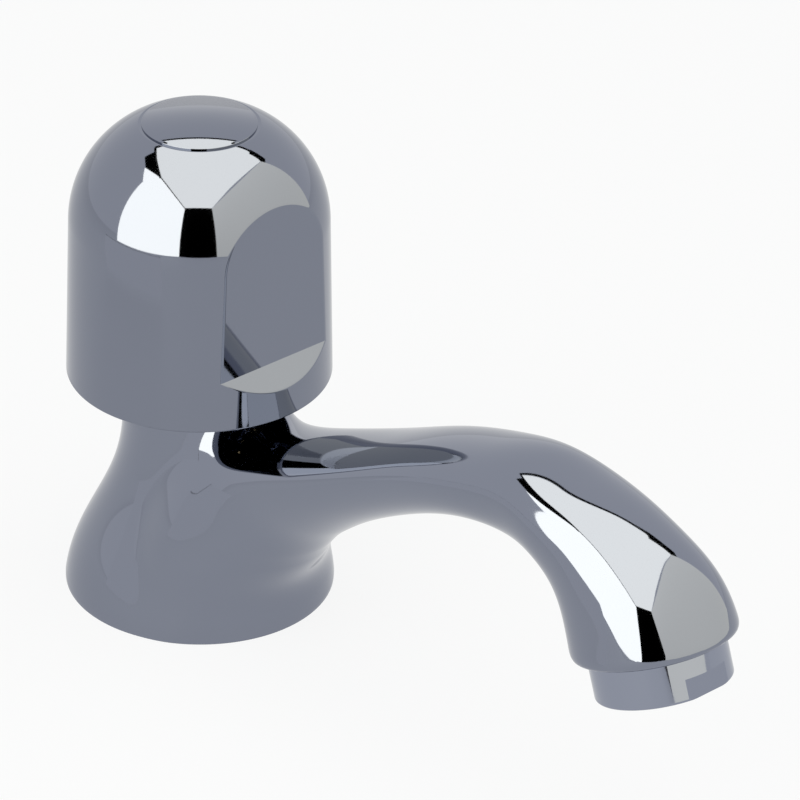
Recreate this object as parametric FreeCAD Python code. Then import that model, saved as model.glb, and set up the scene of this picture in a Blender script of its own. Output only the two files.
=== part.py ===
"""Basin pillar tap: one domed knob over a cast body with a swan-neck spout.

Millimetres. The origin is the middle of the base on the deck, +Z is up and +X is along the spout.
The tap is shown shut. Threads are drawn as plain cylinders with a small clearance.
"""
import FreeCAD, Part
import math
import os
from FreeCAD import Vector

# Clearances between pieces
THREAD_GAP = 0.05
RUN_GAP = 0.05
SEAT_GAP = 0.1
LOOSE_GAP = 0.4

# Skirt and neck of the body: one S curve from the foot to the neck
BASE_R = 24.7
FOOT_H = 0.8
FOOT_PULL = 12.2
FOOT_LEAN = 1.8
NECK_R = 14.0
NECK_START = 35.0
NECK_PULL = 15.5
NECK_TOP = 46.0

# Spout: x, z, lean of its centreline in degrees, half width, crown above, keel below, and the
# power of the crown's curve, where 2 is an ellipse and more is flatter
SPOUT_STATIONS = (
    (8.0, 17.5, 38.0, 13.2, 12.0, 11.5, 2.0),
    (27.2, 32.5, 35.0, 12.2, 8.5, 12.0, 2.2),
    (40.6, 40.6, 32.0, 12.2, 6.3, 9.5, 2.6),
    (53.8, 48.0, 28.0, 12.8, 4.3, 7.9, 3.0),
    (66.8, 54.1, 22.0, 13.2, 3.2, 6.9, 3.1),
    (79.4, 58.4, 14.0, 12.6, 2.9, 6.4, 3.0),
    (90.0, 60.2, 3.0, 11.9, 3.1, 7.2, 2.8),
    (98.1, 59.5, -9.5, 11.6, 3.5, 8.5, 2.6),
    (105.2, 57.0, -25.0, 12.0, 5.7, 10.4, 2.4),
    (110.8, 53.5, -39.0, 12.8, 9.0, 12.2, 2.2),
    (115.3, 48.8, -54.0, 13.8, 12.6, 13.4, 2.0),
)
ROUND = 2.0
SECTION_POINTS = 16
CORE_POINTS = 12
JOIN_R = 12.0

# Mouth of the spout
MOUTH_X = 118.4
MOUTH_Z = 42.7
MOUTH_R = 14.5
MOUTH_TILT = 20.0
MOUTH_EDGE_R = 1.3

# Leaf-shaped recess on the spout's crown
RECESS_TIP_X = 69.5
RECESS_TIP_Z = 58.2
RECESS_LEAN = 24.0
RECESS_LENGTH = 33.0
RECESS_HALF_W = 7.6
RECESS_TIP_R = 1.6

# Waterway inside the body
BODY_WALL = 2.8
INLET_R = 7.5
ORIFICE_R = 5.5
SEAT_R = 7.0
SEAT_LIP = 1.2
SEAT_Z = 22.0
CHAMBER_R = 9.2
CHAMBER_TOP = 33.0
PASSAGE_WALL = 2.2
PASSAGE_WIDTH_RATIO = 2.4
PASSAGE_START_X = 5.0
PASSAGE_START_Z = 26.5
PASSAGE_START_R = 5.0

# Hollow under the skirt
BOSS_R = 14.6
POCKET_TOP = 12.0
GASKET_T = 1.6
GASKET_R = 23.4
GASKET_BORE_R = 11.2

# Inlet shank and what clamps the tap to a deck
SHANK_R = 10.48
SHANK_BORE_R = 7.5
SHANK_TOP = 13.0
SHANK_BOTTOM = -52.0
INLET_THREAD_L = 18.0
RELIEF_R = 9.7
RELIEF_L = 1.6
DECK_T = 18.0
RUBBER_WASHER_R = 18.0
RUBBER_WASHER_T = 3.0
CLAMP_WASHER_R = 17.0
CLAMP_WASHER_T = 1.6
BACK_NUT_AF = 30.0
BACK_NUT_T = 8.0

# Headwork: bonnet, gland and packing
NECK_THREAD_R = 10.48
BONNET_BOTTOM = 34.5
BONNET_GASKET_T = 0.8
BONNET_GASKET_W = 1.5
BONNET_HEX_AF = 24.0
BONNET_HEX_T = 5.2
BONNET_STEM_R = 8.8
LEAD_THREAD_INSET = 1.4
SHOULDER_T = 2.4
PACKING_R = 7.2
PACKING_T = 4.5
STEM_ABOVE_PACKING = 2.5
FOLLOWER_T = 3.3
GLAND_NUT_AF = 21.0
GLAND_NUT_WEB = 2.2
GLAND_NUT_SKIRT = 6.0

# Spindle and jumper
LEAD_R = 6.5
LEAD_BOTTOM = 31.5
LEAD_TRAVEL = 4.1
SHAFT_R = 5.0
SHAFT_IN_HUB = 1.2
SPLINE_TOP = 78.0
SPLINE_R = 4.0
SPLINE_ROOT_R = 3.6
SPLINE_TEETH = 20
FOOT_R = 5.9
WASHER_R = 8.0
WASHER_T = 4.0
JUMPER_T = 2.0
JUMPER_CUP_WALL = 0.7
JUMPER_STEM_R = 3.0
JUMPER_STEM_L = 11.0
JUMPER_STUD_R = 2.0
JUMPER_NUT_AF = 7.0
JUMPER_NUT_T = 2.6

# Knob: outside
KNOB_RIM_Z = 44.0
KNOB_RIM_R = 24.1
KNOB_SHOULDER_Z = 74.0
KNOB_SHOULDER_R = 23.4
DOME_R = 21.0
CAP_SEAT_Z = 92.7
FLAT_X = 20.5
FLAT_BOTTOM_Z = 53.7
LEDGE_SLOPE = 48.0

# Knob: inside
KNOB_WALL = 2.4
CAVITY_CONES = 3
HUB_R = 8.6
HUB_GAP = 3.3
RIB_COUNT = 6
RIB_T = 1.6
RIB_BOTTOM = 74.0
BUSH_R = 6.2
BUSH_KEY_W = 2.0
BUSH_KEY_H = 0.9
SCREW_WEB_T = 2.8
WELL_R = 6.6

# Knob screw and index cap
SCREW_R = 2.1
SCREW_CLEAR_R = 2.6
SCREW_HEAD_R = 4.2
SCREW_HEAD_T = 3.2
SCREW_REACH = 9.0
SCREW_SLOT_W = 1.2
SCREW_WASHER_R = 5.0
SCREW_WASHER_T = 0.8
CAP_R = 10.3
CAP_RIM_H = 0.4
CAP_BEVEL = 0.4
CAP_CROWN_H = 1.0
CAP_SPIGOT_L = 4.5
CAP_SPIGOT_WALL = 1.1

# Aerator
AERATOR_R = 11.9
AERATOR_OUT = 7.5
AERATOR_IN = 1.0
AERATOR_CHAMFER = 0.5
MOUTH_RECESS_R = 12.3
OUTLET_THREAD_R = 11.0
OUTLET_DEPTH = 10.0
AERATOR_GASKET_T = 1.8
AERATOR_GASKET_BORE_R = 8.2
AERATOR_BORE_R = 9.5
AERATOR_LIP_R = 8.6
AERATOR_LIP_T = 1.6
SPANNER_AF = 22.0
SPANNER_H = 3.9
INSERT_WALL = 1.0
INSERT_PLATE_T = 1.2
INSERT_HOLES = 6
INSERT_HOLE_R = 1.3
INSERT_GRID_PITCH = 3.2
INSERT_GRID_BAR = 0.7
INSERT_GRID_T = 2.0
SCREEN_T = 0.4
SCREEN_RISE = 1.2

# Heights of the headwork, one above the other from the neck up
HEX_LOW = NECK_TOP + BONNET_GASKET_T
HEX_TOP = HEX_LOW + BONNET_HEX_T
LEAD_THREAD_TOP = HEX_TOP - LEAD_THREAD_INSET
LEAD_TOP = LEAD_THREAD_TOP - LEAD_TRAVEL
PACKING_FLOOR = LEAD_THREAD_TOP + SHOULDER_T
PACKING_TOP = PACKING_FLOOR + PACKING_T
BONNET_STEM_TOP = PACKING_TOP + STEM_ABOVE_PACKING
FOLLOWER_TOP = PACKING_TOP + FOLLOWER_T
GLAND_NUT_TOP = FOLLOWER_TOP + GLAND_NUT_WEB
HUB_BOTTOM = GLAND_NUT_TOP + HUB_GAP
SHAFT_TOP = HUB_BOTTOM + SHAFT_IN_HUB

UP = Vector(0, 0, 1)
ORIGIN = Vector(0, 0, 0)
FAR = 60.0


def rod(radius, low, high):
    """Solid cylinder about Z."""
    return Part.makeCylinder(radius, high - low, Vector(0, 0, low))


def ring(outer, inner, low, high):
    """Cylinder about Z with a bore right through."""
    return rod(outer, low, high).cut(rod(inner, low - 1, high + 1))


def cone(radius_low, radius_high, low, high):
    """Solid cone about Z between two radii."""
    return Part.makeCone(radius_low, radius_high, high - low, Vector(0, 0, low))


def turned(corners):
    """Solid of revolution about Z from (radius, height) corners."""
    points = [Vector(r, 0, z) for r, z in corners]
    return Part.Face(Part.makePolygon(points + points[:1])).revolve(ORIGIN, UP, 360)


def block(x_low, x_high, y_half, z_low, z_high):
    """Box between two x values, centred on the XZ plane."""
    corner = Vector(x_low, -y_half, z_low)
    return Part.makeBox(x_high - x_low, 2 * y_half, z_high - z_low, corner)


def fused(shapes):
    """One clean solid from several that touch or overlap."""
    return shapes[0].multiFuse(shapes[1:]).removeSplitter()


def hexagon(across_flats, low, high, chamfer):
    """Hexagonal prism about Z whose corners are turned down at both ends."""
    corner_r = across_flats / math.sqrt(3)
    points = [Vector(corner_r * math.cos(math.radians(60 * i)),
                     corner_r * math.sin(math.radians(60 * i)), low) for i in range(7)]
    prism = Part.Face(Part.makePolygon(points)).extrude(Vector(0, 0, high - low))
    rise = chamfer * 0.6
    barrel = turned(((0, low), (corner_r - chamfer, low), (corner_r + 0.01, low + rise),
                     (corner_r + 0.01, high - rise), (corner_r - chamfer, high), (0, high)))
    return prism.common(barrel)


def splined(tip_r, root_r, low, high):
    """Toothed rod about Z, one trapezoid tooth for each step."""
    step = 2 * math.pi / SPLINE_TEETH
    points = []
    for tooth in range(SPLINE_TEETH):
        for share, radius in ((0.0, root_r), (0.3, root_r), (0.45, tip_r), (0.85, tip_r)):
            angle = (tooth + share) * step
            points.append(Vector(radius * math.cos(angle), radius * math.sin(angle), low))
    return Part.Face(Part.makePolygon(points + points[:1])).extrude(Vector(0, 0, high - low))


def at_mouth(shape):
    """Move a piece drawn about -Z from the origin to the tilted mouth of the spout."""
    shape.rotate(ORIGIN, Vector(0, 1, 0), -MOUTH_TILT)
    shape.translate(Vector(MOUTH_X, 0, MOUTH_Z))
    return shape


def edges_on_both(shape, first, second):
    """Edges of a union that lie on the skins of both of its parents."""
    found = []
    for edge in shape.Edges:
        middle = Part.Vertex(edge.valueAt((edge.FirstParameter + edge.LastParameter) / 2))
        near_first = middle.distToShape(first.Shells[0])[0] < 0.001
        if near_first and middle.distToShape(second.Shells[0])[0] < 0.001:
            found.append(edge)
    return found


# Body casting
def skirt_curve(inset):
    """S curve of the skirt as (start, curve, end), drawn inwards by an inset."""
    start = Vector(BASE_R - inset, 0, FOOT_H)
    end = Vector(NECK_R - inset, 0, NECK_START)
    curve = Part.BezierCurve()
    curve.setPoles([start, start + Vector(-FOOT_LEAN, 0, FOOT_PULL),
                    end - Vector(0, 0, NECK_PULL), end])
    return start, curve.toShape(), end


def skirt_solid():
    """Foot, skirt and neck as one turned shape."""
    start, curve, end = skirt_curve(0.0)
    foot = Vector(BASE_R, 0, 0)
    neck = Vector(NECK_R, 0, NECK_TOP)
    axis_top = Vector(0, 0, NECK_TOP)
    edges = [Part.makeLine(ORIGIN, foot), Part.makeLine(foot, start), curve,
             Part.makeLine(end, neck), Part.makeLine(neck, axis_top), Part.makeLine(axis_top, ORIGIN)]
    skirt = Part.Face(Part.Wire(edges)).revolve(ORIGIN, UP, 360)
    skirt.rotate(ORIGIN, UP, 180)
    return skirt


def section_points(station, count):
    """Points round the spout at one station, flatter on its crown than on its keel."""
    x, z, lean, half_w, crown, keel, crown_power = station
    angle = math.radians(lean)
    across = Vector(-math.sin(angle), 0, math.cos(angle))
    points = []
    for i in range(count):
        turn = 2 * math.pi * i / count - math.pi / 2
        power = crown_power if turn > 0 else ROUND
        side = math.copysign(abs(math.cos(turn)) ** (2 / power), math.cos(turn))
        lift = math.copysign(abs(math.sin(turn)) ** (2 / power), math.sin(turn))
        height = lift * (crown if lift > 0 else keel)
        points.append(Vector(x, 0, z) + across * height + Vector(0, half_w * side, 0))
    return points


def section(station):
    """Smooth closed curve through the points of one station."""
    curve = Part.BSplineCurve()
    curve.interpolate(section_points(station, SECTION_POINTS), PeriodicFlag=True)
    return Part.Wire(curve.toShape())


def core_section(station):
    """Closed polygon through the points of one station, for the hidden core."""
    points = section_points(station, CORE_POINTS)
    return Part.makePolygon(points + points[:1])


def mouth_station(radius):
    """The last section: a circle in the plane of the mouth."""
    return (MOUTH_X, MOUTH_Z, MOUTH_TILT - 90, radius, radius, radius, ROUND)


def spout_solid():
    """Outside of the spout, lofted from its root inside the skirt to its mouth."""
    wires = [section(s) for s in SPOUT_STATIONS + (mouth_station(MOUTH_R),)]
    spout = Part.makeLoft(wires, True, False, False)
    mouth = Vector(MOUTH_X, 0, MOUTH_Z)
    end = min(spout.Faces, key=lambda f: f.CenterOfMass.distanceToPoint(mouth))
    return spout.makeFillet(MOUTH_EDGE_R, end.OuterWire.Edges)


def passage_solid():
    """Water passage: the spout's own stations less a wall, from the chamber to the outlet."""
    start = (PASSAGE_START_X, PASSAGE_START_Z, SPOUT_STATIONS[1][2],
             PASSAGE_START_R, PASSAGE_START_R, PASSAGE_START_R, ROUND)
    inner = [start]
    for x, z, lean, half_w, crown, keel, crown_power in SPOUT_STATIONS[1:]:
        middle = (crown - keel) / 2
        half_h = (crown + keel) / 2 - PASSAGE_WALL
        angle = math.radians(lean)
        inner.append((x - middle * math.sin(angle), z + middle * math.cos(angle), lean,
                      min(half_w - BODY_WALL, half_h * PASSAGE_WIDTH_RATIO), half_h, half_h, ROUND))
    inner = inner[:-1]
    depth = OUTLET_DEPTH + 1.0
    tilt = math.radians(MOUTH_TILT)
    inner.append((MOUTH_X - (depth - 2.0) * math.sin(tilt), MOUTH_Z + (depth - 2.0) * math.cos(tilt),
                  MOUTH_TILT - 90, AERATOR_GASKET_BORE_R, AERATOR_GASKET_BORE_R,
                  AERATOR_GASKET_BORE_R, ROUND))
    return Part.makeLoft([core_section(s) for s in inner], True, True, False)


def recess_cutter():
    """Prism that leaves a flat leaf-shaped floor: a round tip, straight flanks, a round end."""
    nose = RECESS_TIP_R
    end_x = -RECESS_LENGTH
    shoulder_x = end_x + RECESS_HALF_W * 0.75
    flank = math.atan2(RECESS_HALF_W - nose, -shoulder_x)
    tip_low = Vector(-nose + nose * math.sin(flank), -nose * math.cos(flank), 0)
    tip_high = Vector(tip_low.x, -tip_low.y, 0)
    back_low = Vector(shoulder_x, -RECESS_HALF_W, 0)
    back_high = Vector(shoulder_x, RECESS_HALF_W, 0)
    edges = [Part.Arc(tip_low, ORIGIN, tip_high).toShape(), Part.makeLine(tip_high, back_high),
             Part.Arc(back_high, Vector(end_x, 0, 0), back_low).toShape(),
             Part.makeLine(back_low, tip_low)]
    prism = Part.Face(Part.Wire(edges)).extrude(Vector(0, 0, FAR / 2))
    prism.rotate(ORIGIN, Vector(0, 1, 0), -RECESS_LEAN)
    prism.translate(Vector(RECESS_TIP_X, 0, RECESS_TIP_Z))
    return prism


def base_pocket():
    """Hollow under the skirt, open at the bottom, that keeps the casting's wall even."""
    start, curve, end = skirt_curve(BODY_WALL)
    low = Vector(BOSS_R, 0, 0)
    high = Vector(BOSS_R, 0, POCKET_TOP)
    foot = Vector(start.x, 0, 0)
    outer = Part.Wire([Part.makeLine(foot, start), curve, Part.makeLine(end, Vector(0, 0, end.z)),
                       Part.makeLine(Vector(0, 0, end.z), ORIGIN), Part.makeLine(ORIGIN, foot)])
    inside = Part.Face(outer).revolve(ORIGIN, UP, 360)
    return inside.common(ring(BASE_R, low.x, low.z, high.z))


def inner_bores():
    """Everything on the vertical axis that is cut out of the body."""
    floor = SEAT_Z - SEAT_LIP
    return [
        rod(GASKET_R + 2 * RUN_GAP, -1, GASKET_T),
        base_pocket(),
        rod(SHANK_R + THREAD_GAP, -1, SHANK_TOP),
        cone(INLET_R, ORIFICE_R, SHANK_TOP, SHANK_TOP + INLET_R - ORIFICE_R),
        rod(ORIFICE_R, SHANK_TOP, SEAT_Z + 1),
        ring(CHAMBER_R, SEAT_R, floor, SEAT_Z),
        rod(CHAMBER_R, SEAT_Z, CHAMBER_TOP + 1),
        rod(NECK_THREAD_R + THREAD_GAP, CHAMBER_TOP, NECK_TOP + 1),
    ]


def body_casting():
    """Hollow casting: base, neck, spout, valve seat and threads' bores."""
    skirt = skirt_solid()
    spout = spout_solid()
    outside = skirt.fuse(spout)
    outside = outside.makeFillet(JOIN_R, edges_on_both(outside, skirt, spout))
    outlet = fused([rod(OUTLET_THREAD_R, -1, OUTLET_DEPTH),
                    rod(MOUTH_RECESS_R, -1, AERATOR_IN + SEAT_GAP)])
    body = outside.cut(recess_cutter())
    for tool in inner_bores() + [passage_solid(), at_mouth(outlet)]:
        body = body.cut(tool)
    return body


# Inlet and deck fixings
def inlet_shank():
    """Threaded tail with a relief groove above the length that the supply nut takes."""
    groove_low = SHANK_BOTTOM + INLET_THREAD_L
    tail = ring(SHANK_R, SHANK_BORE_R, SHANK_BOTTOM, SHANK_TOP - RUN_GAP)
    return tail.cut(ring(SHANK_R + 1, RELIEF_R, groove_low, groove_low + RELIEF_L))


def base_gasket():
    """Flat ring under the foot, flush with the deck face."""
    return ring(GASKET_R, GASKET_BORE_R, 0, GASKET_T)


def deck_fixings():
    """Rubber washer, clamp washer and back nut below a deck of the drawn thickness."""
    bore = SHANK_R + LOOSE_GAP
    top = -DECK_T
    steel_top = top - RUBBER_WASHER_T
    nut_top = steel_top - CLAMP_WASHER_T
    nut_low = nut_top - BACK_NUT_T
    flange = cone(BACK_NUT_AF / 2, BACK_NUT_AF / 2 + 1.5, nut_top - 2.5, nut_top)
    nut = fused([hexagon(BACK_NUT_AF, nut_low, nut_top, 1.6), flange])
    return {
        "rubber_washer": ring(RUBBER_WASHER_R, bore, steel_top, top),
        "clamp_washer": ring(CLAMP_WASHER_R, bore, nut_top, steel_top),
        "back_nut": nut.cut(rod(SHANK_R + THREAD_GAP, nut_low - 1, nut_top + 1)),
    }


# Headwork that stays still
def headwork_bonnet():
    """Brass bonnet: neck thread, hexagon, stem for the gland and the spindle's nut thread."""
    solid = fused([rod(NECK_THREAD_R, BONNET_BOTTOM, HEX_LOW),
                   hexagon(BONNET_HEX_AF, HEX_LOW, HEX_TOP, 1.4),
                   rod(BONNET_STEM_R, HEX_TOP, BONNET_STEM_TOP)])
    solid = solid.cut(rod(LEAD_R + RUN_GAP, BONNET_BOTTOM - 1, LEAD_THREAD_TOP))
    solid = solid.cut(cone(LEAD_R + 1.4, LEAD_R, BONNET_BOTTOM, BONNET_BOTTOM + 1.4))
    solid = solid.cut(rod(SHAFT_R + RUN_GAP, LEAD_THREAD_TOP - 1, BONNET_STEM_TOP + 1))
    return solid.cut(rod(PACKING_R, PACKING_FLOOR, BONNET_STEM_TOP + 1))


def bonnet_gasket():
    """Fibre ring between the neck and the bonnet's hexagon."""
    return ring(NECK_THREAD_R + BONNET_GASKET_W, NECK_THREAD_R + THREAD_GAP, NECK_TOP, HEX_LOW)


def gland():
    """Packing, its follower and the gland nut on the bonnet's stem."""
    nut_low = FOLLOWER_TOP - GLAND_NUT_SKIRT
    bore = SHAFT_R + RUN_GAP
    nut = hexagon(GLAND_NUT_AF, nut_low, GLAND_NUT_TOP, 1.2)
    nut = nut.cut(rod(BONNET_STEM_R + THREAD_GAP, nut_low - 1, FOLLOWER_TOP))
    return {
        "gland_packing": ring(PACKING_R - RUN_GAP, bore, PACKING_FLOOR, PACKING_TOP),
        "gland_follower": ring(PACKING_R - RUN_GAP, bore, PACKING_TOP, FOLLOWER_TOP),
        "gland_nut": nut.cut(rod(bore, FOLLOWER_TOP - 1, GLAND_NUT_TOP + 1)),
    }


# Jumper: rises with the spindle and does not turn
def jumper_levels():
    """Heights of the jumper's disc: underside and top."""
    low = SEAT_Z + WASHER_T
    return low, low + JUMPER_T


def jumper_valve():
    """Brass disc with a cup for the washer, a guide stem above and a stud below."""
    low, top = jumper_levels()
    cup = ring(WASHER_R + JUMPER_CUP_WALL, WASHER_R + RUN_GAP, low - WASHER_T / 2, low)
    plate = rod(WASHER_R + JUMPER_CUP_WALL, low, top)
    stem = rod(JUMPER_STEM_R, top, top + JUMPER_STEM_L)
    stud_low = SEAT_Z - JUMPER_NUT_T - 0.8
    return fused([plate, cup, stem, rod(JUMPER_STUD_R, stud_low, low)])


def seat_washer():
    """Rubber washer that closes the seat."""
    return ring(WASHER_R, JUMPER_STUD_R + RUN_GAP, SEAT_Z, SEAT_Z + WASHER_T)


def jumper_nut():
    """Small nut that holds the washer, inside the orifice when the tap is shut."""
    nut = hexagon(JUMPER_NUT_AF, SEAT_Z - JUMPER_NUT_T, SEAT_Z, 0.5)
    return nut.cut(rod(JUMPER_STUD_R + THREAD_GAP, SEAT_Z - JUMPER_NUT_T - 1, SEAT_Z + 1))


# Spindle and knob: turn together
def spindle():
    """Foot with the jumper's socket, lead thread, shaft and splined head."""
    foot_low = jumper_levels()[1] + SEAT_GAP
    solid = fused([rod(FOOT_R, foot_low, LEAD_BOTTOM), rod(LEAD_R, LEAD_BOTTOM, LEAD_TOP),
                   rod(SHAFT_R, LEAD_TOP, SHAFT_TOP),
                   splined(SPLINE_R, SPLINE_ROOT_R, SHAFT_TOP, SPLINE_TOP)])
    solid = solid.cut(rod(JUMPER_STEM_R + RUN_GAP, foot_low - 1, foot_low + JUMPER_STEM_L + 1))
    screw_low = SPLINE_TOP - SCREW_REACH - 1.5
    return solid.cut(rod(SCREW_R + THREAD_GAP, screw_low, SPLINE_TOP + 1))


def dome_point(radius, share, top):
    """Point on the knob's dome, a share of the way from the shoulder to a level."""
    angle = share * math.asin((top - KNOB_SHOULDER_Z) / radius)
    centre_r = KNOB_SHOULDER_R - DOME_R
    return centre_r + radius * math.cos(angle), KNOB_SHOULDER_Z + radius * math.sin(angle)


def knob_outside():
    """Tapered wall and dome of the knob as one solid, up to the cap's seat."""
    low = Vector(0, 0, KNOB_RIM_Z)
    top = Vector(0, 0, CAP_SEAT_Z)
    rim = Vector(KNOB_RIM_R, 0, KNOB_RIM_Z)
    shoulder, middle, crown = [Vector(r, 0, z) for r, z in
                               (dome_point(DOME_R, share, CAP_SEAT_Z) for share in (0, 0.5, 1))]
    edges = [Part.makeLine(low, rim), Part.makeLine(rim, shoulder),
             Part.Arc(shoulder, middle, crown).toShape(),
             Part.makeLine(crown, top), Part.makeLine(top, low)]
    return Part.Face(Part.Wire(edges)).revolve(ORIGIN, UP, 360)


def flat_cutter():
    """Prism that cuts one side flat above a ledge that slopes down and out."""
    drop = (FAR - FLAT_X) * math.tan(math.radians(LEDGE_SLOPE))
    corners = ((FLAT_X, FLAT_BOTTOM_Z), (FLAT_X, FAR * 2), (FAR, FAR * 2),
               (FAR, FLAT_BOTTOM_Z - drop))
    points = [Vector(x, -FAR / 2, z) for x, z in corners]
    return Part.Face(Part.makePolygon(points + points[:1])).extrude(Vector(0, FAR, 0))


def both_sides(shape):
    """A shape and its copy turned half round the vertical axis."""
    other = shape.copy()
    other.rotate(ORIGIN, UP, 180)
    return [shape, other]


def knob_cavity():
    """Inside of the knob: cones under the dome, drawn in behind the two flats."""
    roof = CAP_SEAT_Z - KNOB_WALL
    under_dome = [dome_point(DOME_R - KNOB_WALL, i / CAVITY_CONES, roof) for i in range(CAVITY_CONES + 1)]
    cavity = turned([(0, KNOB_RIM_Z), (KNOB_RIM_R - KNOB_WALL, KNOB_RIM_Z)] + under_dome + [(0, roof)])
    pad_low = FLAT_BOTTOM_Z - 2 * KNOB_WALL
    pad = block(FLAT_X - KNOB_WALL, FAR, FAR, pad_low, FAR * 2)
    for side in both_sides(pad):
        cavity = cavity.cut(side)
    return cavity


def bush_levels():
    """Heights of the bush in the hub: bottom and top."""
    return HUB_BOTTOM, SPLINE_TOP


def bush_blank(clearance):
    """Outside of the bush: a rod with two keys."""
    low, top = bush_levels()
    key = block(-BUSH_R - BUSH_KEY_H - clearance, BUSH_R + BUSH_KEY_H + clearance,
                BUSH_KEY_W / 2 + clearance, low, top)
    return fused([rod(BUSH_R + clearance, low, top), key])


def knob_shell():
    """Cast knob: thin domed wall, two finger flats, hub, ribs and the screw's well."""
    cavity = knob_cavity()
    shell = knob_outside().cut(cavity)
    hub = rod(HUB_R, HUB_BOTTOM, CAP_SEAT_Z - KNOB_WALL / 2)
    ribs = []
    for i in range(RIB_COUNT):
        rib = Part.makeBox(FAR, RIB_T, FAR, Vector(HUB_R - 1, -RIB_T / 2, RIB_BOTTOM))
        rib.rotate(ORIGIN, UP, 360 * (i + 0.5) / RIB_COUNT)
        ribs.append(rib.common(cavity))
    shell = fused([shell, hub] + ribs)
    for side in both_sides(flat_cutter()):
        shell = shell.cut(side)
    shell = shell.cut(bush_blank(RUN_GAP))
    well_low = SPLINE_TOP + SCREW_WEB_T
    shell = shell.cut(rod(SCREW_CLEAR_R, SPLINE_TOP - 1, well_low + 1))
    return shell.cut(rod(WELL_R, well_low, CAP_SEAT_Z + 1))


def spline_bush():
    """Moulded bush that grips the spindle's splines."""
    low, top = bush_levels()
    blank = bush_blank(0.0)
    bush = blank.cut(splined(SPLINE_R + RUN_GAP, SPLINE_ROOT_R + RUN_GAP, low - 1, top + 1))
    return bush.cut(rod(SHAFT_R + RUN_GAP, low - 1, SHAFT_TOP + SEAT_GAP))


def screw_levels():
    """Heights of the knob screw: washer bottom, head bottom and head top."""
    washer_low = SPLINE_TOP + SCREW_WEB_T
    head_low = washer_low + SCREW_WASHER_T
    return washer_low, head_low, head_low + SCREW_HEAD_T


def knob_screw():
    """Slotted screw that holds the knob on the spindle."""
    washer_low, head_low, head_top = screw_levels()
    solid = fused([rod(SCREW_R, SPLINE_TOP - SCREW_REACH, head_low),
                   rod(SCREW_HEAD_R, head_low, head_top)])
    slot = block(-FAR, FAR, SCREW_SLOT_W / 2, head_top - SCREW_HEAD_T / 2, head_top + 1)
    return solid.cut(slot)


def screw_washer():
    """Plain washer under the screw's head."""
    washer_low, head_low, head_top = screw_levels()
    return ring(SCREW_WASHER_R, SCREW_R + THREAD_GAP, washer_low, head_low)


def index_cap():
    """Low domed disc with a bevelled rim and a spigot that snaps into the knob's well."""
    rim_top = CAP_SEAT_Z + CAP_RIM_H
    crown = Vector(0, 0, rim_top + CAP_CROWN_H)
    inner = Vector(CAP_R - CAP_BEVEL, 0, rim_top + CAP_BEVEL / 2)
    rise = crown.z - inner.z
    sphere_r = (inner.x ** 2 + rise ** 2) / (2 * rise)
    half = math.asin(inner.x / sphere_r) / 2
    bulge = Vector(sphere_r * math.sin(half), 0, crown.z - sphere_r * (1 - math.cos(half)))
    rim = Vector(CAP_R, 0, rim_top)
    low = Vector(CAP_R, 0, CAP_SEAT_Z)
    base = Vector(0, 0, CAP_SEAT_Z)
    edges = [Part.makeLine(base, low), Part.makeLine(low, rim), Part.makeLine(rim, inner),
             Part.Arc(inner, bulge, crown).toShape(), Part.makeLine(crown, base)]
    disc = Part.Face(Part.Wire(edges)).revolve(ORIGIN, UP, 360)
    outer = WELL_R - RUN_GAP
    spigot = ring(outer, outer - CAP_SPIGOT_WALL, CAP_SEAT_Z - CAP_SPIGOT_L, CAP_SEAT_Z + CAP_RIM_H / 2)
    return fused([disc, spigot])


# Aerator, drawn about -Z from the mouth
def aerator_housing():
    """Chromed collar with spanner flats, a thread above and a lip that keeps the insert."""
    top = OUTLET_DEPTH - AERATOR_GASKET_T
    collar = rod(AERATOR_R, -AERATOR_OUT, AERATOR_IN)
    low_rim = [e for e in collar.Edges if abs(e.CenterOfMass.z + AERATOR_OUT) < 0.01]
    collar = collar.makeChamfer(AERATOR_CHAMFER, low_rim)
    thread = rod(OUTLET_THREAD_R - THREAD_GAP, 0, top)
    solid = fused([collar, thread])
    solid = solid.cut(rod(AERATOR_LIP_R, -AERATOR_OUT - 1, top + 1))
    solid = solid.cut(rod(AERATOR_BORE_R, -AERATOR_OUT + AERATOR_LIP_T, top + 1))
    flat = block(SPANNER_AF / 2, FAR, FAR, -AERATOR_OUT - 1, -AERATOR_OUT + SPANNER_H)
    for side in both_sides(flat):
        solid = solid.cut(side)
    return at_mouth(solid)


def insert_levels():
    """Heights of the insert: its underside on the lip and its top."""
    return -AERATOR_OUT + AERATOR_LIP_T, OUTLET_DEPTH - AERATOR_GASKET_T - SCREEN_T


def aerator_insert():
    """Plastic cartridge: a tube with a drilled plate above and a square grid below."""
    low, top = insert_levels()
    outer = AERATOR_BORE_R - RUN_GAP
    inner = outer - INSERT_WALL
    tube = ring(outer, inner, low, top)
    plate = rod(inner + 0.1, top - 3 * INSERT_PLATE_T, top - 2 * INSERT_PLATE_T)
    for i in range(INSERT_HOLES):
        angle = 2 * math.pi * i / INSERT_HOLES
        spot = Vector(inner * 0.6 * math.cos(angle), inner * 0.6 * math.sin(angle), top - FAR)
        plate = plate.cut(Part.makeCylinder(INSERT_HOLE_R, 2 * FAR, spot))
    bars = []
    count = int(inner / INSERT_GRID_PITCH)
    for i in range(-count, count + 1):
        middle = i * INSERT_GRID_PITCH
        bar = Part.makeBox(INSERT_GRID_BAR, 2 * FAR, INSERT_GRID_T,
                           Vector(middle - INSERT_GRID_BAR / 2, -FAR, low))
        cross = bar.copy()
        cross.rotate(ORIGIN, UP, 90)
        bars += [bar, cross]
    grid = fused(bars).common(rod(inner + 0.1, low, low + INSERT_GRID_T))
    return at_mouth(fused([tube, plate, grid]))


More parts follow.
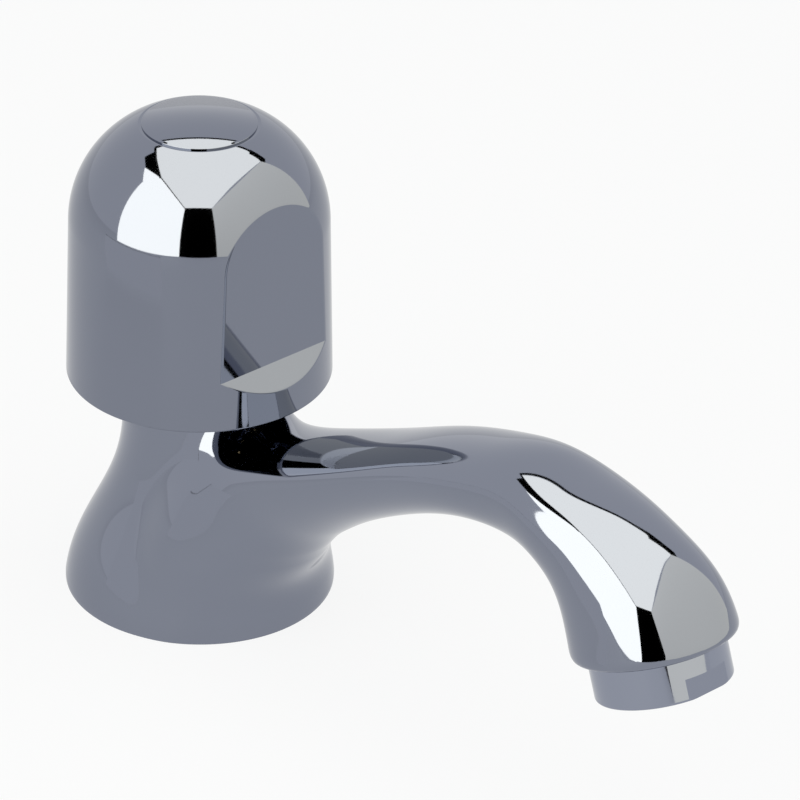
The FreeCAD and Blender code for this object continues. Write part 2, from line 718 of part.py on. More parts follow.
def aerator_screen():
    """Dished screen on top of the cartridge."""
    top = OUTLET_DEPTH - AERATOR_GASKET_T
    outer = AERATOR_BORE_R - RUN_GAP
    flat_r = outer - 2 * INSERT_WALL
    low = top - SCREEN_T
    return at_mouth(turned(((0, low + SCREEN_RISE), (flat_r / 2, low + SCREEN_RISE), (flat_r, low),
                            (outer, low), (outer, top), (flat_r, top),
                            (flat_r / 2, top + SCREEN_RISE), (0, top + SCREEN_RISE))))


def aerator_gasket():
    """Rubber ring between the housing and the shoulder of the outlet."""
    low = OUTLET_DEPTH - AERATOR_GASKET_T
    return at_mouth(ring(OUTLET_THREAD_R - RUN_GAP, AERATOR_GASKET_BORE_R, low, OUTLET_DEPTH))


def all_parts():
    """Every piece by its node name."""
    parts = {
        "body_casting": body_casting(),
        "inlet_shank": inlet_shank(),
        "base_gasket": base_gasket(),
        "headwork_bonnet": headwork_bonnet(),
        "bonnet_gasket": bonnet_gasket(),
        "jumper_valve": jumper_valve(),
        "seat_washer": seat_washer(),
        "jumper_nut": jumper_nut(),
        "spindle": spindle(),
        "knob_shell": knob_shell(),
        "spline_bush": spline_bush(),
        "knob_screw": knob_screw(),
        "screw_washer": screw_washer(),
        "index_cap": index_cap(),
        "aerator_housing": aerator_housing(),
        "aerator_insert": aerator_insert(),
        "aerator_screen": aerator_screen(),
        "aerator_gasket": aerator_gasket(),
    }
    parts.update(deck_fixings())
    parts.update(gland())
    return parts


os.makedirs("parts", exist_ok=True)
for name, shape in all_parts().items():
    print(name, "solids", len(shape.Solids), "valid", shape.isValid(), "volume", round(shape.Volume, 1))
    shape.exportStep("parts/" + name + ".step")
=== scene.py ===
"""Basin pillar tap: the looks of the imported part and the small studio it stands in.

Laid out as an add-on and run as a script. Lengths inside the functions are millimetres, in the
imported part's frame: +Z up, +X along the spout, the origin on the deck. A mesh is turned into
metres as it is made.
"""

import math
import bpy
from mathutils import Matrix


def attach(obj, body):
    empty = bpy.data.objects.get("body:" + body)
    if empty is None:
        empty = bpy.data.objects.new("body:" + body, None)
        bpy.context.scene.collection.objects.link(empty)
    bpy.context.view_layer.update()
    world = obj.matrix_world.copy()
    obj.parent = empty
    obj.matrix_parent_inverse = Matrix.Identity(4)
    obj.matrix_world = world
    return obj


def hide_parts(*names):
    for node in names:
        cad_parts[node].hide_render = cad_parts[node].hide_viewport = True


bl_info = {
    "name": "Basin Pillar Tap",
    "version": (1, 0, 0),
    "blender": (4, 5, 0),
    "location": "View3D > Sidebar > Tap",
    "description": "Chromed basin tap with a domed knob and an arched spout, in a light tent",
    "category": "Object",
}

import bmesh
import bpy
import numpy as np
from bpy.props import FloatProperty, FloatVectorProperty, IntProperty, PointerProperty
from mathutils import Matrix, Vector

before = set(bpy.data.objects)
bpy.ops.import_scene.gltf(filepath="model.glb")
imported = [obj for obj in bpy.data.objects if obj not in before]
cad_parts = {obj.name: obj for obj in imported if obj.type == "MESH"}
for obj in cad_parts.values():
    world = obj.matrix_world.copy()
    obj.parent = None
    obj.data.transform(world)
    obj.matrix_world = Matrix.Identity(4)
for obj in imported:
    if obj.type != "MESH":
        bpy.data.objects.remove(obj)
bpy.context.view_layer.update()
MM = 0.001

# Body: foot, skirt and neck
BASE_R = 24.7
FOOT_H = 0.8
NECK_R = 14.0
SKIRT_CURVE = ((BASE_R, FOOT_H), (22.9, 13.0), (NECK_R, 19.5), (NECK_R, 35.0))
NECK_TOP = 46.0
# Spout, rounded from a fit to the photograph: x, z, lean in degrees, half width, crown, keel and
# the power of the crown's curve
SPOUT_STATIONS = (
    (8.0, 17.5, 38.0, 13.2, 12.0, 11.5, 2.0),
    (27.2, 32.5, 35.0, 12.2, 8.5, 12.0, 2.1),
    (40.6, 40.6, 32.0, 11.9, 6.6, 9.8, 2.05),
    (53.75, 48.05, 28.0, 11.5, 5.25, 8.9, 2.05),
    (66.8, 54.2, 22.0, 11.0, 5.4, 8.55, 2.05),
    (79.4, 58.45, 14.0, 10.5, 5.8, 9.0, 2.05),
    (90.0, 60.2, 3.0, 10.2, 6.6, 10.2, 2.05),
    (98.0, 59.05, -9.5, 10.85, 7.1, 10.45, 2.1),
    (104.9, 56.35, -25.0, 11.35, 9.0, 11.4, 2.15),
    (110.05, 52.65, -39.0, 12.25, 11.35, 12.4, 2.25),
    (114.1, 47.95, -54.0, 13.25, 13.9, 13.05, 2.5),
    (118.4, 42.7, -70.0, 14.5, 14.5, 14.5, 2.0),
)
JOIN_WIDTH = 22.0
JOIN_UNDER = 11.0
JOIN_FROM_X = -2.0
JOIN_TO_X = 16.0
MOUTH = (118.4, 42.7)
MOUTH_TILT = 20.0
MOUTH_EDGE_WIDTH = 2.3
BODY_LOW = (-26.0, -26.0, -1.6)
BODY_HIGH = (134.0, 26.0, 69.6)

# Knob
RIM_Z = 44.0
RIM_R = 24.1
SHOULDER_Z = 74.0
SHOULDER_R = 23.4
DOME_R = 21.0
SEAT_Z = 93.2
CAP_R = 10.3
CAP_EDGE_R = 9.9
CAP_SIDE_H = 0.28
CAP_EDGE_H = 0.45
CAP_CROWN_H = 0.9
CAP_SKIRT_R = 6.55
CAP_SKIRT_BORE_R = 5.45
CAP_SKIRT_Z = 88.2
CAP_SHADE_R = 23.0
FLAT_X = 20.5
FLAT_Z = 53.7
LEDGE_SLOPE = 48.0
KNOB_WALL = 2.4
PAD_X = 18.1
PAD_Z = 48.9
HUB_R = 8.6
HUB_Z = 66.3
BUSH_R = 6.25
BUSH_TOP = 78.0
SCREW_HOLE_R = 2.6
WELL_R = 6.6
WELL_Z = 80.8

# Ribs under the dome, in metres as the node tree takes them
RIB_INNER = 0.0082
RIB_LENGTH = 0.0102
RIB_T = 0.0016
RIB_HEIGHT = 0.007
RIB_Z = 0.0775

# Aerator, below the mouth
COLLAR_R = 11.9
COLLAR_DROP = 7.5
COLLAR_BORE_R = 9.5
COLLAR_LIP_R = 8.6
COLLAR_LIP_H = 1.6
COLLAR_TOP = 1.0
COLLAR_THREAD_R = 10.95
COLLAR_THREAD_TOP = 8.2
SPANNER_X = 11.0
SPANNER_H = 3.9

# Tail
TAIL_R = 10.48
TAIL_BORE_R = 7.5
TAIL_TOP = 12.95
TAIL_LOW = -52.0
GROOVE_LOW = -34.0
GROOVE_HIGH = -32.4
GROOVE_R = 9.7
THREAD_DEPTH = 0.68
THREAD_RIDGE = 0.62

# Camera, fitted to the photograph
CAMERA_PLACE = (0.63736, -0.53481, 0.52210)
CAMERA_FORWARD = (-0.6369, 0.5838, -0.5035)
CAMERA_RIGHT = (0.6673, 0.7446, 0.0192)
LENS_MM = 238.4

# Light tent in heights of its ceiling over the dome: to the camera's right, towards the camera
# and, where a third number stands, up
TENT_CEILING = ((-0.256, 0.998), (0.30, 0.99), (0.50, 0.40), (0.653, 0.04), (0.862, -0.428),
                (0.565, -0.50), (-0.524, -0.472), (-0.541, -0.22), (-0.538, 0.187))
TENT_LEFT = ((-0.256, 0.998, 0.97), (-0.52, 0.245, 0.97), (-0.538, 0.187, 0.97), (-0.64, -0.11, 0.81),
             (-0.574, 0.09, 0.61), (-0.54, 0.187, -0.05), (-0.256, 0.998, -0.05))
TENT_RIGHT = ((0.30, 0.99, 0.99), (0.862, -0.428, 0.99), (0.862, -0.428, -0.05), (0.30, 0.99, -0.05))
TENT_GAP = ((-0.256, 0.998, 1.0), (0.30, 0.99, 1.0), (0.30, 0.99, -0.05), (-0.256, 0.998, -0.05))
TENT_DARK = (((-0.538, 0.19), (-0.775, -0.07), (-0.74, -0.38), (-0.55, -0.40)),
             ((0.60, -0.44), (0.99, -0.44), (0.95, -0.58), (0.60, -0.56)),
             ((-0.55, -0.475), (0.60, -0.50), (0.60, -0.55), (-0.55, -0.53)))
TENT_EYE_Z = 0.08
TENT_FRAMES = ((4, 0.965), (6, 0.93), (7, 0.93), (8, 0.965))
TENT_LOWEST = 0.002
FLOOR_HALF = 8.0
CARD_AWAY = 160.0
CARD_TURNS = (118.0, 170.0)
CARD_HEIGHTS = (1.0, 63.0, 63.6)


# Sizes and colours a user would change
class TapSizes(bpy.types.PropertyGroup):
    """Sizes of the dressed pieces."""
    grid: FloatProperty(name="Body grid", description="Spacing of the body's surface",
                        default=0.00055, min=0.0003, unit="LENGTH")
    columns: IntProperty(name="Columns", description="Faces round a quarter of the knob", default=40)
    knob_edge: FloatProperty(name="Knob edge", description="Width of the soft edge round the flats",
                             default=0.00022, unit="LENGTH")
    pitch: FloatProperty(name="Thread pitch", description="Pitch of the tail's thread",
                         default=0.001814, unit="LENGTH")
    ribs: IntProperty(name="Ribs", description="Ribs under the knob's dome", default=6)


class TapFinish(bpy.types.PropertyGroup):
    """Colours and gloss of the tap's materials."""
    # The plating's colour is set darker and bluer than chrome is. It is painted reflection of the grey-blue
    # surroundings that the plating mirrors.
    chrome: FloatVectorProperty(name="Chrome", description="Colour of the plating", subtype="COLOR",
                                size=3, default=(0.236, 0.255, 0.314))
    chrome_gloss: FloatProperty(name="Chrome roughness", description="Roughness of the plating",
                                default=0.045, subtype="FACTOR")
    brass: FloatVectorProperty(name="Brass", description="Colour of the turned brass",
                               subtype="COLOR", size=3, default=(0.72, 0.52, 0.24))
    steel: FloatVectorProperty(name="Steel", description="Colour of the plated steel",
                               subtype="COLOR", size=3, default=(0.55, 0.55, 0.54))
    rubber: FloatVectorProperty(name="Rubber", description="Colour of the rubber rings",
                                subtype="COLOR", size=3, default=(0.025, 0.025, 0.027))
    fibre: FloatVectorProperty(name="Fibre", description="Colour of the fibre ring",
                               subtype="COLOR", size=3, default=(0.36, 0.07, 0.05))
    graphite: FloatVectorProperty(name="Packing", description="Colour of the gland packing",
                                  subtype="COLOR", size=3, default=(0.05, 0.05, 0.055))
    plastic: FloatVectorProperty(name="Plastic", description="Colour of the moulded pieces",
                                 subtype="COLOR", size=3, default=(0.74, 0.74, 0.71))


class TapStudio(bpy.types.PropertyGroup):
    """The floor, the light tent and its strengths."""
    floor: FloatVectorProperty(name="Floor", description="Colour of the floor", subtype="COLOR",
                               size=3, default=(0.46, 0.49, 0.565))
    floor_share: FloatProperty(name="Pale floor", description="Share of the floor that shows as plain white",
                               default=0.87, subtype="FACTOR")
    mirrored: FloatProperty(name="Mirrored floor", description="Strength of the pale floor in the plating",
                            default=0.8)
    backdrop: FloatProperty(name="Backdrop", description="Strength of the pale surroundings as seen",
                            default=0.86)
    fill: FloatProperty(name="Fill", description="Strength of the surroundings as a light", default=0.3)
    left: FloatProperty(name="Left panel", description="Strength of the left panel", default=3.9)
    ceiling: FloatProperty(name="Ceiling", description="Strength of the ceiling", default=2.9)
    right: FloatProperty(name="Right panel", description="Strength of the right panel", default=1.42)
    card: FloatProperty(name="Card", description="Strength of the small card by the foot", default=0.84)
    warmth: FloatVectorProperty(name="Panel colour", description="Colour of the tent's light",
                                subtype="COLOR", size=3, default=(0.98, 0.945, 0.8))
    height: FloatProperty(name="Tent height", description="Height of the ceiling over the dome",
                          default=1.15, unit="LENGTH")


# Meshes
class Patchwork:
    """Faces with their own corner normals, whose shared corners are merged at the end."""

    def __init__(self):
        self.points = []
        self.normals = []

    def add(self, points, normals):
        """Adds a grid of points, its rows up and its columns round, seen from outside."""
        for source, kept in ((points, self.points), (normals, self.normals)):
            corners = (source[:-1, :-1], source[:-1, 1:], source[1:, 1:], source[1:, :-1])
            kept.append(np.stack(corners, 2).reshape(-1, 4, 3))

    def mirrored(self, axis):
        """Adds a mirror image of everything so far."""
        sign = np.ones(3)
        sign[axis] = -1
        for kept in (self.points, self.normals):
            kept += [quads[:, ::-1] * sign for quads in list(kept)]

    def mesh(self, name):
        """Mesh in metres with the corners merged and no face left without area."""
        quads = np.concatenate(self.points)
        normals = np.concatenate(self.normals)
        keys = np.round(quads.reshape(-1, 3) * 2000).astype(np.int64)
        _, first, index = np.unique(keys, axis=0, return_index=True, return_inverse=True)
        places = quads.reshape(-1, 3)[first] * MM
        faces, kept = [], []
        for corners, about in zip(index.reshape(-1, 4).tolist(), normals):
            keep = [i for i in range(4) if corners[i] != corners[i - 1]]
            ring = [corners[i] for i in keep]
            if len(set(ring)) > 2 and len(set(ring)) == len(ring):
                faces.append(ring)
                kept.extend(about[i] for i in keep)
        made = bpy.data.meshes.new(name)
        made.from_pydata(places.tolist(), [], faces)
        made.normals_split_custom_set(np.array(kept).tolist())
        return made


def smoothstep(low, high, value):
    """Smooth rise from nought to one between two values."""
    share = np.clip((value - low) / (high - low), 0, 1)
    return share * share * (3 - 2 * share)


def turned_pieces(corners, closed=False):
    """Straight and rounded stretches of an outline of (radius, height, rounding) corners.

    Each stretch is its points and its normals, which face the right of the way along it.
    """
    spots = [np.array(c[:2], float) for c in corners]
    count = len(spots)
    turns = [c[2] if len(c) > 2 else 0 for c in corners]
    legs = count if closed else count - 1
    ways = [(spots[(i + 1) % count] - spots[i]) for i in range(legs)]
    ways = [w / np.linalg.norm(w) for w in ways]
    cuts, arcs = [0.0] * count, [None] * count
    for i in range(count):
        if turns[i] and (closed or 0 < i < count - 1):
            before, after = ways[i - 1], ways[i]
            half = math.acos(max(-1.0, min(1.0, float(before @ after)))) / 2
            cuts[i] = turns[i] * math.tan(half)
            side = 1 if before[0] * after[1] - before[1] * after[0] > 0 else -1
            start = spots[i] - before * cuts[i]
            centre = start + side * turns[i] * np.array((-before[1], before[0]))
            shares = np.linspace(0, 2 * half, 7)
            points = []
            for turn in shares:
                c, s = math.cos(side * turn), math.sin(side * turn)
                arm = start - centre
                points.append(centre + np.array((c * arm[0] - s * arm[1], s * arm[0] + c * arm[1])))
            points = np.array(points)
            arcs[i] = (points, side * (points - centre) / turns[i])
    pieces = []
    for i in range(legs):
        j = (i + 1) % count
        a, b = spots[i] + ways[i] * cuts[i], spots[j] - ways[i] * cuts[j]
        normal = np.array((ways[i][1], -ways[i][0]))
        if np.linalg.norm(b - a) > 1e-6:
            pieces.append((np.array((a, b)), np.array((normal, normal))))
        if arcs[j] is not None:
            pieces.append(arcs[j])
    return pieces


def add_turned(work, pieces, angles):
    """Turns the stretches of an outline about Z through the angles."""
    c, s = np.cos(angles)[None, :], np.sin(angles)[None, :]
    for points, normals in pieces:
        r, z = points[:, :1], points[:, 1:]
        n, up = normals[:, :1], normals[:, 1:]
        work.add(np.stack((r * c, r * s, z + 0 * c), 2), np.stack((n * c, n * s, up + 0 * c), 2))


def full_turn(count):
    """Angles of a closed turn."""
    return np.linspace(0, 2 * math.pi, count + 1)


def to_mouth(mesh):
    """Moves a mesh drawn about -Z from the origin to the tilted mouth, in metres."""
    turn = Matrix.Rotation(math.radians(-MOUTH_TILT), 4, "Y")
    mesh.transform(Matrix.Translation((MOUTH[0] * MM, 0, MOUTH[1] * MM)) @ turn)
    return mesh


def placed(mesh, name):
    """Object with the mesh, linked to the scene at the origin."""
    mesh.name = name
    made = bpy.data.objects.new(name, mesh)
    bpy.context.scene.collection.objects.link(made)
    return made


def closed_solid(points, faces, name):
    """Plain closed mesh in metres for cutting, its faces turned outwards."""
    made = bpy.data.meshes.new(name)
    made.from_pydata([tuple(c * MM for c in p) for p in points], [], faces)
    work = bmesh.new()
    work.from_mesh(made)
    bmesh.ops.remove_doubles(work, verts=work.verts, dist=1e-7)
    bmesh.ops.dissolve_degenerate(work, edges=work.edges, dist=1e-8)
    bmesh.ops.recalc_face_normals(work, faces=work.faces)
    work.to_mesh(made)
    work.free()
    return made


def turned_cutter(outline, count, name):
    """Closed turned solid from (radius, height) corners."""
    points, faces = [], []
    for r, z in outline:
        points += [(r * math.cos(2 * math.pi * i / count), r * math.sin(2 * math.pi * i / count), z)
                   for i in range(count)]
    rows = len(outline)
    for row in range(rows - 1):
        for i in range(count):
            j = (i + 1) % count
            faces.append((row * count + i, row * count + j, (row + 1) * count + j, (row + 1) * count + i))
    return closed_solid(points, faces, name)


# Body casting: a field, its zero surface and the cuts
def spline_bends(knots, values):
    """Second derivatives at the knots of a natural cubic spline."""
    count, gap = len(knots), np.diff(knots)
    matrix, right = np.eye(count), np.zeros_like(values)
    for i in range(1, count - 1):
        matrix[i, i - 1:i + 2] = gap[i - 1], 2 * (gap[i - 1] + gap[i]), gap[i]
        right[i] = 6 * ((values[i + 1] - values[i]) / gap[i] - (values[i] - values[i - 1]) / gap[i - 1])
    return np.linalg.solve(matrix, right)


class Sweep:
    """Skin of the spout: stations along a curve, each in a plane across it."""

    def __init__(self):
        self.rows = np.array(SPOUT_STATIONS, float)
        self.rows[:, 2] = np.radians(self.rows[:, 2])
        steps = np.hypot(*np.diff(self.rows[:, :2], axis=0).T)
        self.knots = np.concatenate(([0.0], np.cumsum(steps)))
        self.bends = spline_bends(self.knots, self.rows)
        self.samples = np.linspace(-24, self.knots[-1] + 12, 90)
        self.centres = self.section(self.samples)[0]

    def section(self, where):
        """Centre, direction and sizes at distances along the curve, straight past its ends."""
        inside = np.clip(where, 0, self.knots[-1])
        i = np.clip(np.searchsorted(self.knots, inside) - 1, 0, len(self.knots) - 2)
        gap = (self.knots[i + 1] - self.knots[i])[:, None]
        a = (self.knots[i + 1] - inside)[:, None] / gap
        b = 1 - a
        rows = a * self.rows[i] + b * self.rows[i + 1]
        rows += ((a ** 3 - a) * self.bends[i] + (b ** 3 - b) * self.bends[i + 1]) * gap ** 2 / 6
        along = np.stack((np.cos(rows[:, 2]), np.sin(rows[:, 2])), 1)
        return rows[:, :2] + along * (where - inside)[:, None], along, rows

    def locate(self, flat):
        """Distance along the curve of the section plane that holds each (x, z)."""
        nearest = np.argmin(((flat[:, None, :] - self.centres[None]) ** 2).sum(2), 1)
        where = self.samples[nearest]
        nudge = 0.02
        for _ in range(7):
            centre, along, _ = self.section(where)
            gap = ((flat - centre) * along).sum(1)
            centre, along, _ = self.section(where + nudge)
            slope = (((flat - centre) * along).sum(1) - gap) / nudge
            slope = np.where(slope > -0.15, -0.15, slope)
            where = np.clip(where - np.clip(gap / slope, -3, 3), -24, self.knots[-1] + 12)
        return where


def oval_distance(across, height, half_w, crown, keel, power):
    """Distance-like field of an oval that is flatter above its widest line than below it."""
    tall = np.where(height > 0, crown, keel)
    reach = np.abs(height) / tall
    side = np.abs(across) / half_w
    bend = np.where(height > 0, 2 + (power - 2) * smoothstep(0, 0.5, reach), 2.0)
    size = np.maximum((side ** bend + reach ** bend) ** (1 / bend), 0.05)
    slope_side = (side / size) ** (bend - 1) / half_w
    slope_up = (reach / size) ** (bend - 1) / tall
    return (size - 1) / np.maximum(np.hypot(slope_side, slope_up), 1e-3)


def soft_min(a, b, width):
    """Lower of two fields with a soft change between them."""
    near = np.maximum(width - np.abs(a - b), 0) / width
    return np.minimum(a, b) - near ** 3 * width / 6


def soft_max(a, b, width):
    """Higher of two fields with a soft change between them."""
    return -soft_min(-a, -b, width)


def skirt_table():
    """Heights and radii of the foot, the skirt's S curve and the neck."""
    t = np.linspace(0, 1, 1500)[:, None]
    p = np.array(SKIRT_CURVE)
    curve = ((1 - t) ** 3 * p[0] + 3 * (1 - t) ** 2 * t * p[1] + 3 * (1 - t) * t ** 2 * p[2] + t ** 3 * p[3])
    heights = np.concatenate(([-5.0], curve[:, 1], [60.0]))
    return heights, np.concatenate(([BASE_R], curve[:, 0], [NECK_R]))


class BodyField:
    """Field of the body's outside, below nought inside it."""

    def __init__(self):
        self.sweep = Sweep()
        self.heights, self.radii = skirt_table()

    def __call__(self, x, y, z):
        flat_x, flat_z = np.broadcast_arrays(x, z)
        flat = np.stack((flat_x.ravel(), flat_z.ravel()), 1)
        centre, along, rows = self.sweep.section(self.sweep.locate(flat))
        off = flat - centre
        height = off[:, 1] * along[:, 0] - off[:, 0] * along[:, 1]
        tube = oval_distance(y, *(a.reshape(flat_x.shape) for a in (height, *rows[:, 3:].T)))
        tilt = math.radians(MOUTH_TILT)
        out = (x - MOUTH[0]) * math.sin(tilt) - (z - MOUTH[1]) * math.cos(tilt)
        tube = soft_max(tube, out, MOUTH_EDGE_WIDTH)
        root = self.sweep.rows[0]
        behind = -((x - root[0]) * math.cos(root[2]) + (z - root[1]) * math.sin(root[2]))
        tube = soft_max(tube, behind, 4.0)
        radius = np.interp(z, self.heights, self.radii)
        slope = (np.interp(z + 0.05, self.heights, self.radii) - radius) / 0.05
        skirt = (np.hypot(x, y) - radius) / np.hypot(1, slope)
        skirt = np.maximum(skirt, z - NECK_TOP - 3)
        under = JOIN_UNDER * smoothstep(4, 17, z) * (1 - smoothstep(20, 34, z))
        width = 0.5 + (JOIN_WIDTH + under) * smoothstep(JOIN_FROM_X, JOIN_TO_X, x)
        return np.maximum(soft_min(skirt, tube, width), -z - 1)

    def slopes(self, points):
        """Gradient of the field at points."""
        step, found = 0.04, []
        for axis in range(3):
            shift = np.zeros(3)
            shift[axis] = step
            ahead, back = points + shift, points - shift
            found.append((self(*ahead.T) - self(*back.T)) / (2 * step))
        return np.stack(found, 1)


def surface_net(field, spacing):
    """Points and quads of a field's zero surface on a grid, the points put on the surface."""
    axes = [np.arange(low, high, spacing) for low, high in zip(BODY_LOW, BODY_HIGH)]
    values = field(axes[0][:, None, None], axes[1][None, :, None], axes[2][None, None, :])
    inside = values < 0
    nx, ny, nz = values.shape
    cells = np.zeros((nx - 1, ny - 1, nz - 1), np.int8)
    for dx in (0, 1):
        for dy in (0, 1):
            for dz in (0, 1):
                cells += inside[dx:nx - 1 + dx, dy:ny - 1 + dy, dz:nz - 1 + dz]
    cell = np.argwhere((cells > 0) & (cells < 8))
    index = np.full(cells.shape, -1, np.int64)
    index[tuple(cell.T)] = np.arange(len(cell))
    total, hits = np.zeros((len(cell), 3)), np.zeros(len(cell))
    corners = [np.array((i & 1, i >> 1 & 1, i >> 2 & 1)) for i in range(8)]
    level = [values[tuple((cell + c).T)] for c in corners]
    for i in range(8):
        for j in range(i + 1, 8):
            if np.abs(corners[i] - corners[j]).sum() == 1:
                crossing = (level[i] < 0) != (level[j] < 0)
                share = np.where(crossing, level[i] / np.where(crossing, level[i] - level[j], 1), 0)
                spot = corners[i] + share[:, None] * (corners[j] - corners[i])
                total += spot * crossing[:, None]
                hits += crossing
    points = np.array(BODY_LOW) + (cell + total / hits[:, None]) * spacing
    quads = []
    for axis in range(3):
        first, second = [a for a in range(3) if a != axis]
        if axis == 1:
            first, second = second, first
        one = np.zeros(3, int)
        one[axis] = 1
        low = inside[:nx - one[0], :ny - one[1], :nz - one[2]]
        high = inside[one[0]:, one[1]:, one[2]:]
        for flipped in (False, True):
            edge = np.argwhere(high & ~low if flipped else low & ~high)
            a, b = np.zeros(3, int), np.zeros(3, int)
            a[first], b[second] = 1, 1
            ring = [edge - a - b, edge - b, edge, edge - a]
            quad = np.stack([index[tuple(c.T)] for c in ring], 1)
            quads.append(quad[:, ::-1] if flipped else quad)
    return points, np.concatenate(quads)


def settled(field, points, quads):
    """Points spread evenly over the surface and put exactly on it."""
    pairs = np.concatenate([quads[:, (i, (i + 1) % 4)] for i in range(4)])
    pairs = np.concatenate((pairs, pairs[:, ::-1]))
    share = np.bincount(pairs[:, 0], minlength=len(points))[:, None]
    for turn in range(3):
        slope = field.slopes(points)
        normal = slope / np.linalg.norm(slope, axis=1)[:, None]
        if turn < 2:
            mean = np.stack([np.bincount(pairs[:, 0], points[pairs[:, 1], a], len(points))
                             for a in range(3)], 1) / share
            move = (mean - points) * 0.5
            points = points + move - normal * (move * normal).sum(1)[:, None]
        level = field(*points.T)
        edge = (points[:, 2] < -0.6) | (points[:, 2] > NECK_TOP + 1.6) & (np.hypot(*points[:, :2].T) < 16)
        step = level / np.maximum(np.linalg.norm(slope, axis=1), 0.3)
        points = points - normal * np.where(edge, 0, np.clip(step, -0.5, 0.5))[:, None]
    return points


def body_cutters():
    """Everything that is cut out of the body: the bores with the neck's top, and the outlet."""
    bores = turned_cutter(
        ((0, -2), (23.5, -2), (23.5, 1.6), (21.8, 1.6), (21.2, 6), (20.0, 12), (14.6, 12), (14.6, 1.6),
         (10.53, 1.6), (10.53, 13), (7.5, 13), (5.5, 15), (5.5, 22), (7, 22), (7, 20.8), (9.2, 20.8),
         (9.2, 33), (10.53, 33), (10.53, NECK_TOP), (17.5, NECK_TOP), (17.5, 54), (0, 54)), 96, "bores")
    outlet = to_mouth(turned_cutter(((0, -3), (12.3, -3), (12.3, 1.1), (11.0, 1.1), (11.0, 10), (0, 10)),
                                    96, "outlet"))
    return [bores, outlet]


def cut_body(body, cutters):
    """Cuts the body by all the cutters at once, with exact edges."""
    joined = bmesh.new()
    for mesh in cutters:
        joined.from_mesh(mesh)
    tool_mesh = bpy.data.meshes.new("cutters")
    joined.to_mesh(tool_mesh)
    joined.free()
    tool = placed(tool_mesh, "cutters")
    cut = body.modifiers.new("cut", "BOOLEAN")
    cut.operation, cut.solver, cut.object = "DIFFERENCE", "EXACT", tool
    baked = bpy.data.meshes.new_from_object(body.evaluated_get(bpy.context.evaluated_depsgraph_get()))
    body.modifiers.clear()
    body.data = baked
    bpy.data.objects.remove(tool)
    return body


def field_normals(mesh, field):
    """Takes the normals of the cast skin from the field, and leaves the cut faces as they are."""
    mesh.shade_smooth()
    mesh.set_sharp_from_angle(angle=math.radians(26))
    count = len(mesh.vertices)
    places = np.empty(count * 3)
    mesh.vertices.foreach_get("co", places)
    points = places.reshape(-1, 3) / MM
    slope = field.slopes(points)
    slope /= np.linalg.norm(slope, axis=1)[:, None]
    on_skin = np.abs(field(*points.T)) < 0.012
    loops = np.empty(len(mesh.loops), np.int64)
    mesh.loops.foreach_get("vertex_index", loops)
    corner = np.empty(len(mesh.loops) * 3)
    mesh.corner_normals.foreach_get("vector", corner)
    corner = corner.reshape(-1, 3)
    for face in mesh.polygons:
        rows = slice(face.loop_start, face.loop_start + face.loop_total)
        spots = loops[rows]
        if on_skin[spots].all() and (slope[spots] @ np.array(face.normal)).min() > 0.8:
            corner[rows] = slope[spots]
    mesh.normals_split_custom_set(corner.tolist())


# Knob
def knob_radius(z):
    """Radius of the knob's skin at a height: the tapered wall, then the dome's arc."""
    wall = RIM_R + (SHOULDER_R - RIM_R) * (z - RIM_Z) / (SHOULDER_Z - RIM_Z)
    rise = np.clip(z - SHOULDER_Z, 0, DOME_R - 0.01)
    return np.where(z < SHOULDER_Z, wall, SHOULDER_R - DOME_R + np.sqrt(DOME_R ** 2 - rise ** 2))


def knob_normals(angles, z):
    """Normals of the knob's skin."""
    rise = np.clip(z - SHOULDER_Z, 0, DOME_R - 0.01)
    fall = np.maximum(rise / np.sqrt(DOME_R ** 2 - rise ** 2), (RIM_R - SHOULDER_R) / (SHOULDER_Z - RIM_Z))
    size = np.hypot(1, fall)
    return np.stack((np.cos(angles) / size, np.sin(angles) / size, fall / size), -1)


def cut_plane(z):
    """x of the flat, and of the ledge that slopes down and out below it."""
    return FLAT_X + np.maximum(FLAT_Z - z, 0) / math.tan(math.radians(LEDGE_SLOPE))


def level_of(function, low, high):
    """Height at which a function changes sign."""
    for _ in range(50):
        middle = (low + high) / 2
        if (function(low) < 0) == (function(middle) < 0):
            low = middle
        else:
            high = middle
    return (low + high) / 2


def flat_rows(plane_shift, skin_shift):
    """Heights of the rows along the outline of the flat and its ledge, and where each starts."""
    def gap(z):
        return float(knob_radius(z)) - skin_shift - float(cut_plane(z)) + plane_shift
    low = level_of(gap, RIM_Z + 0.5, FLAT_Z)
    high = level_of(gap, SHOULDER_Z, SEAT_Z)
    ledge = low + (FLAT_Z - low) * np.linspace(0, 1, 13) ** 2
    middle = np.linspace(FLAT_Z, SHOULDER_Z, 11)[1:]
    arch = high - (high - SHOULDER_Z) * (1 - np.linspace(0, 1, 31)[1:]) ** 2
    return np.concatenate((ledge, middle, arch)), len(ledge)


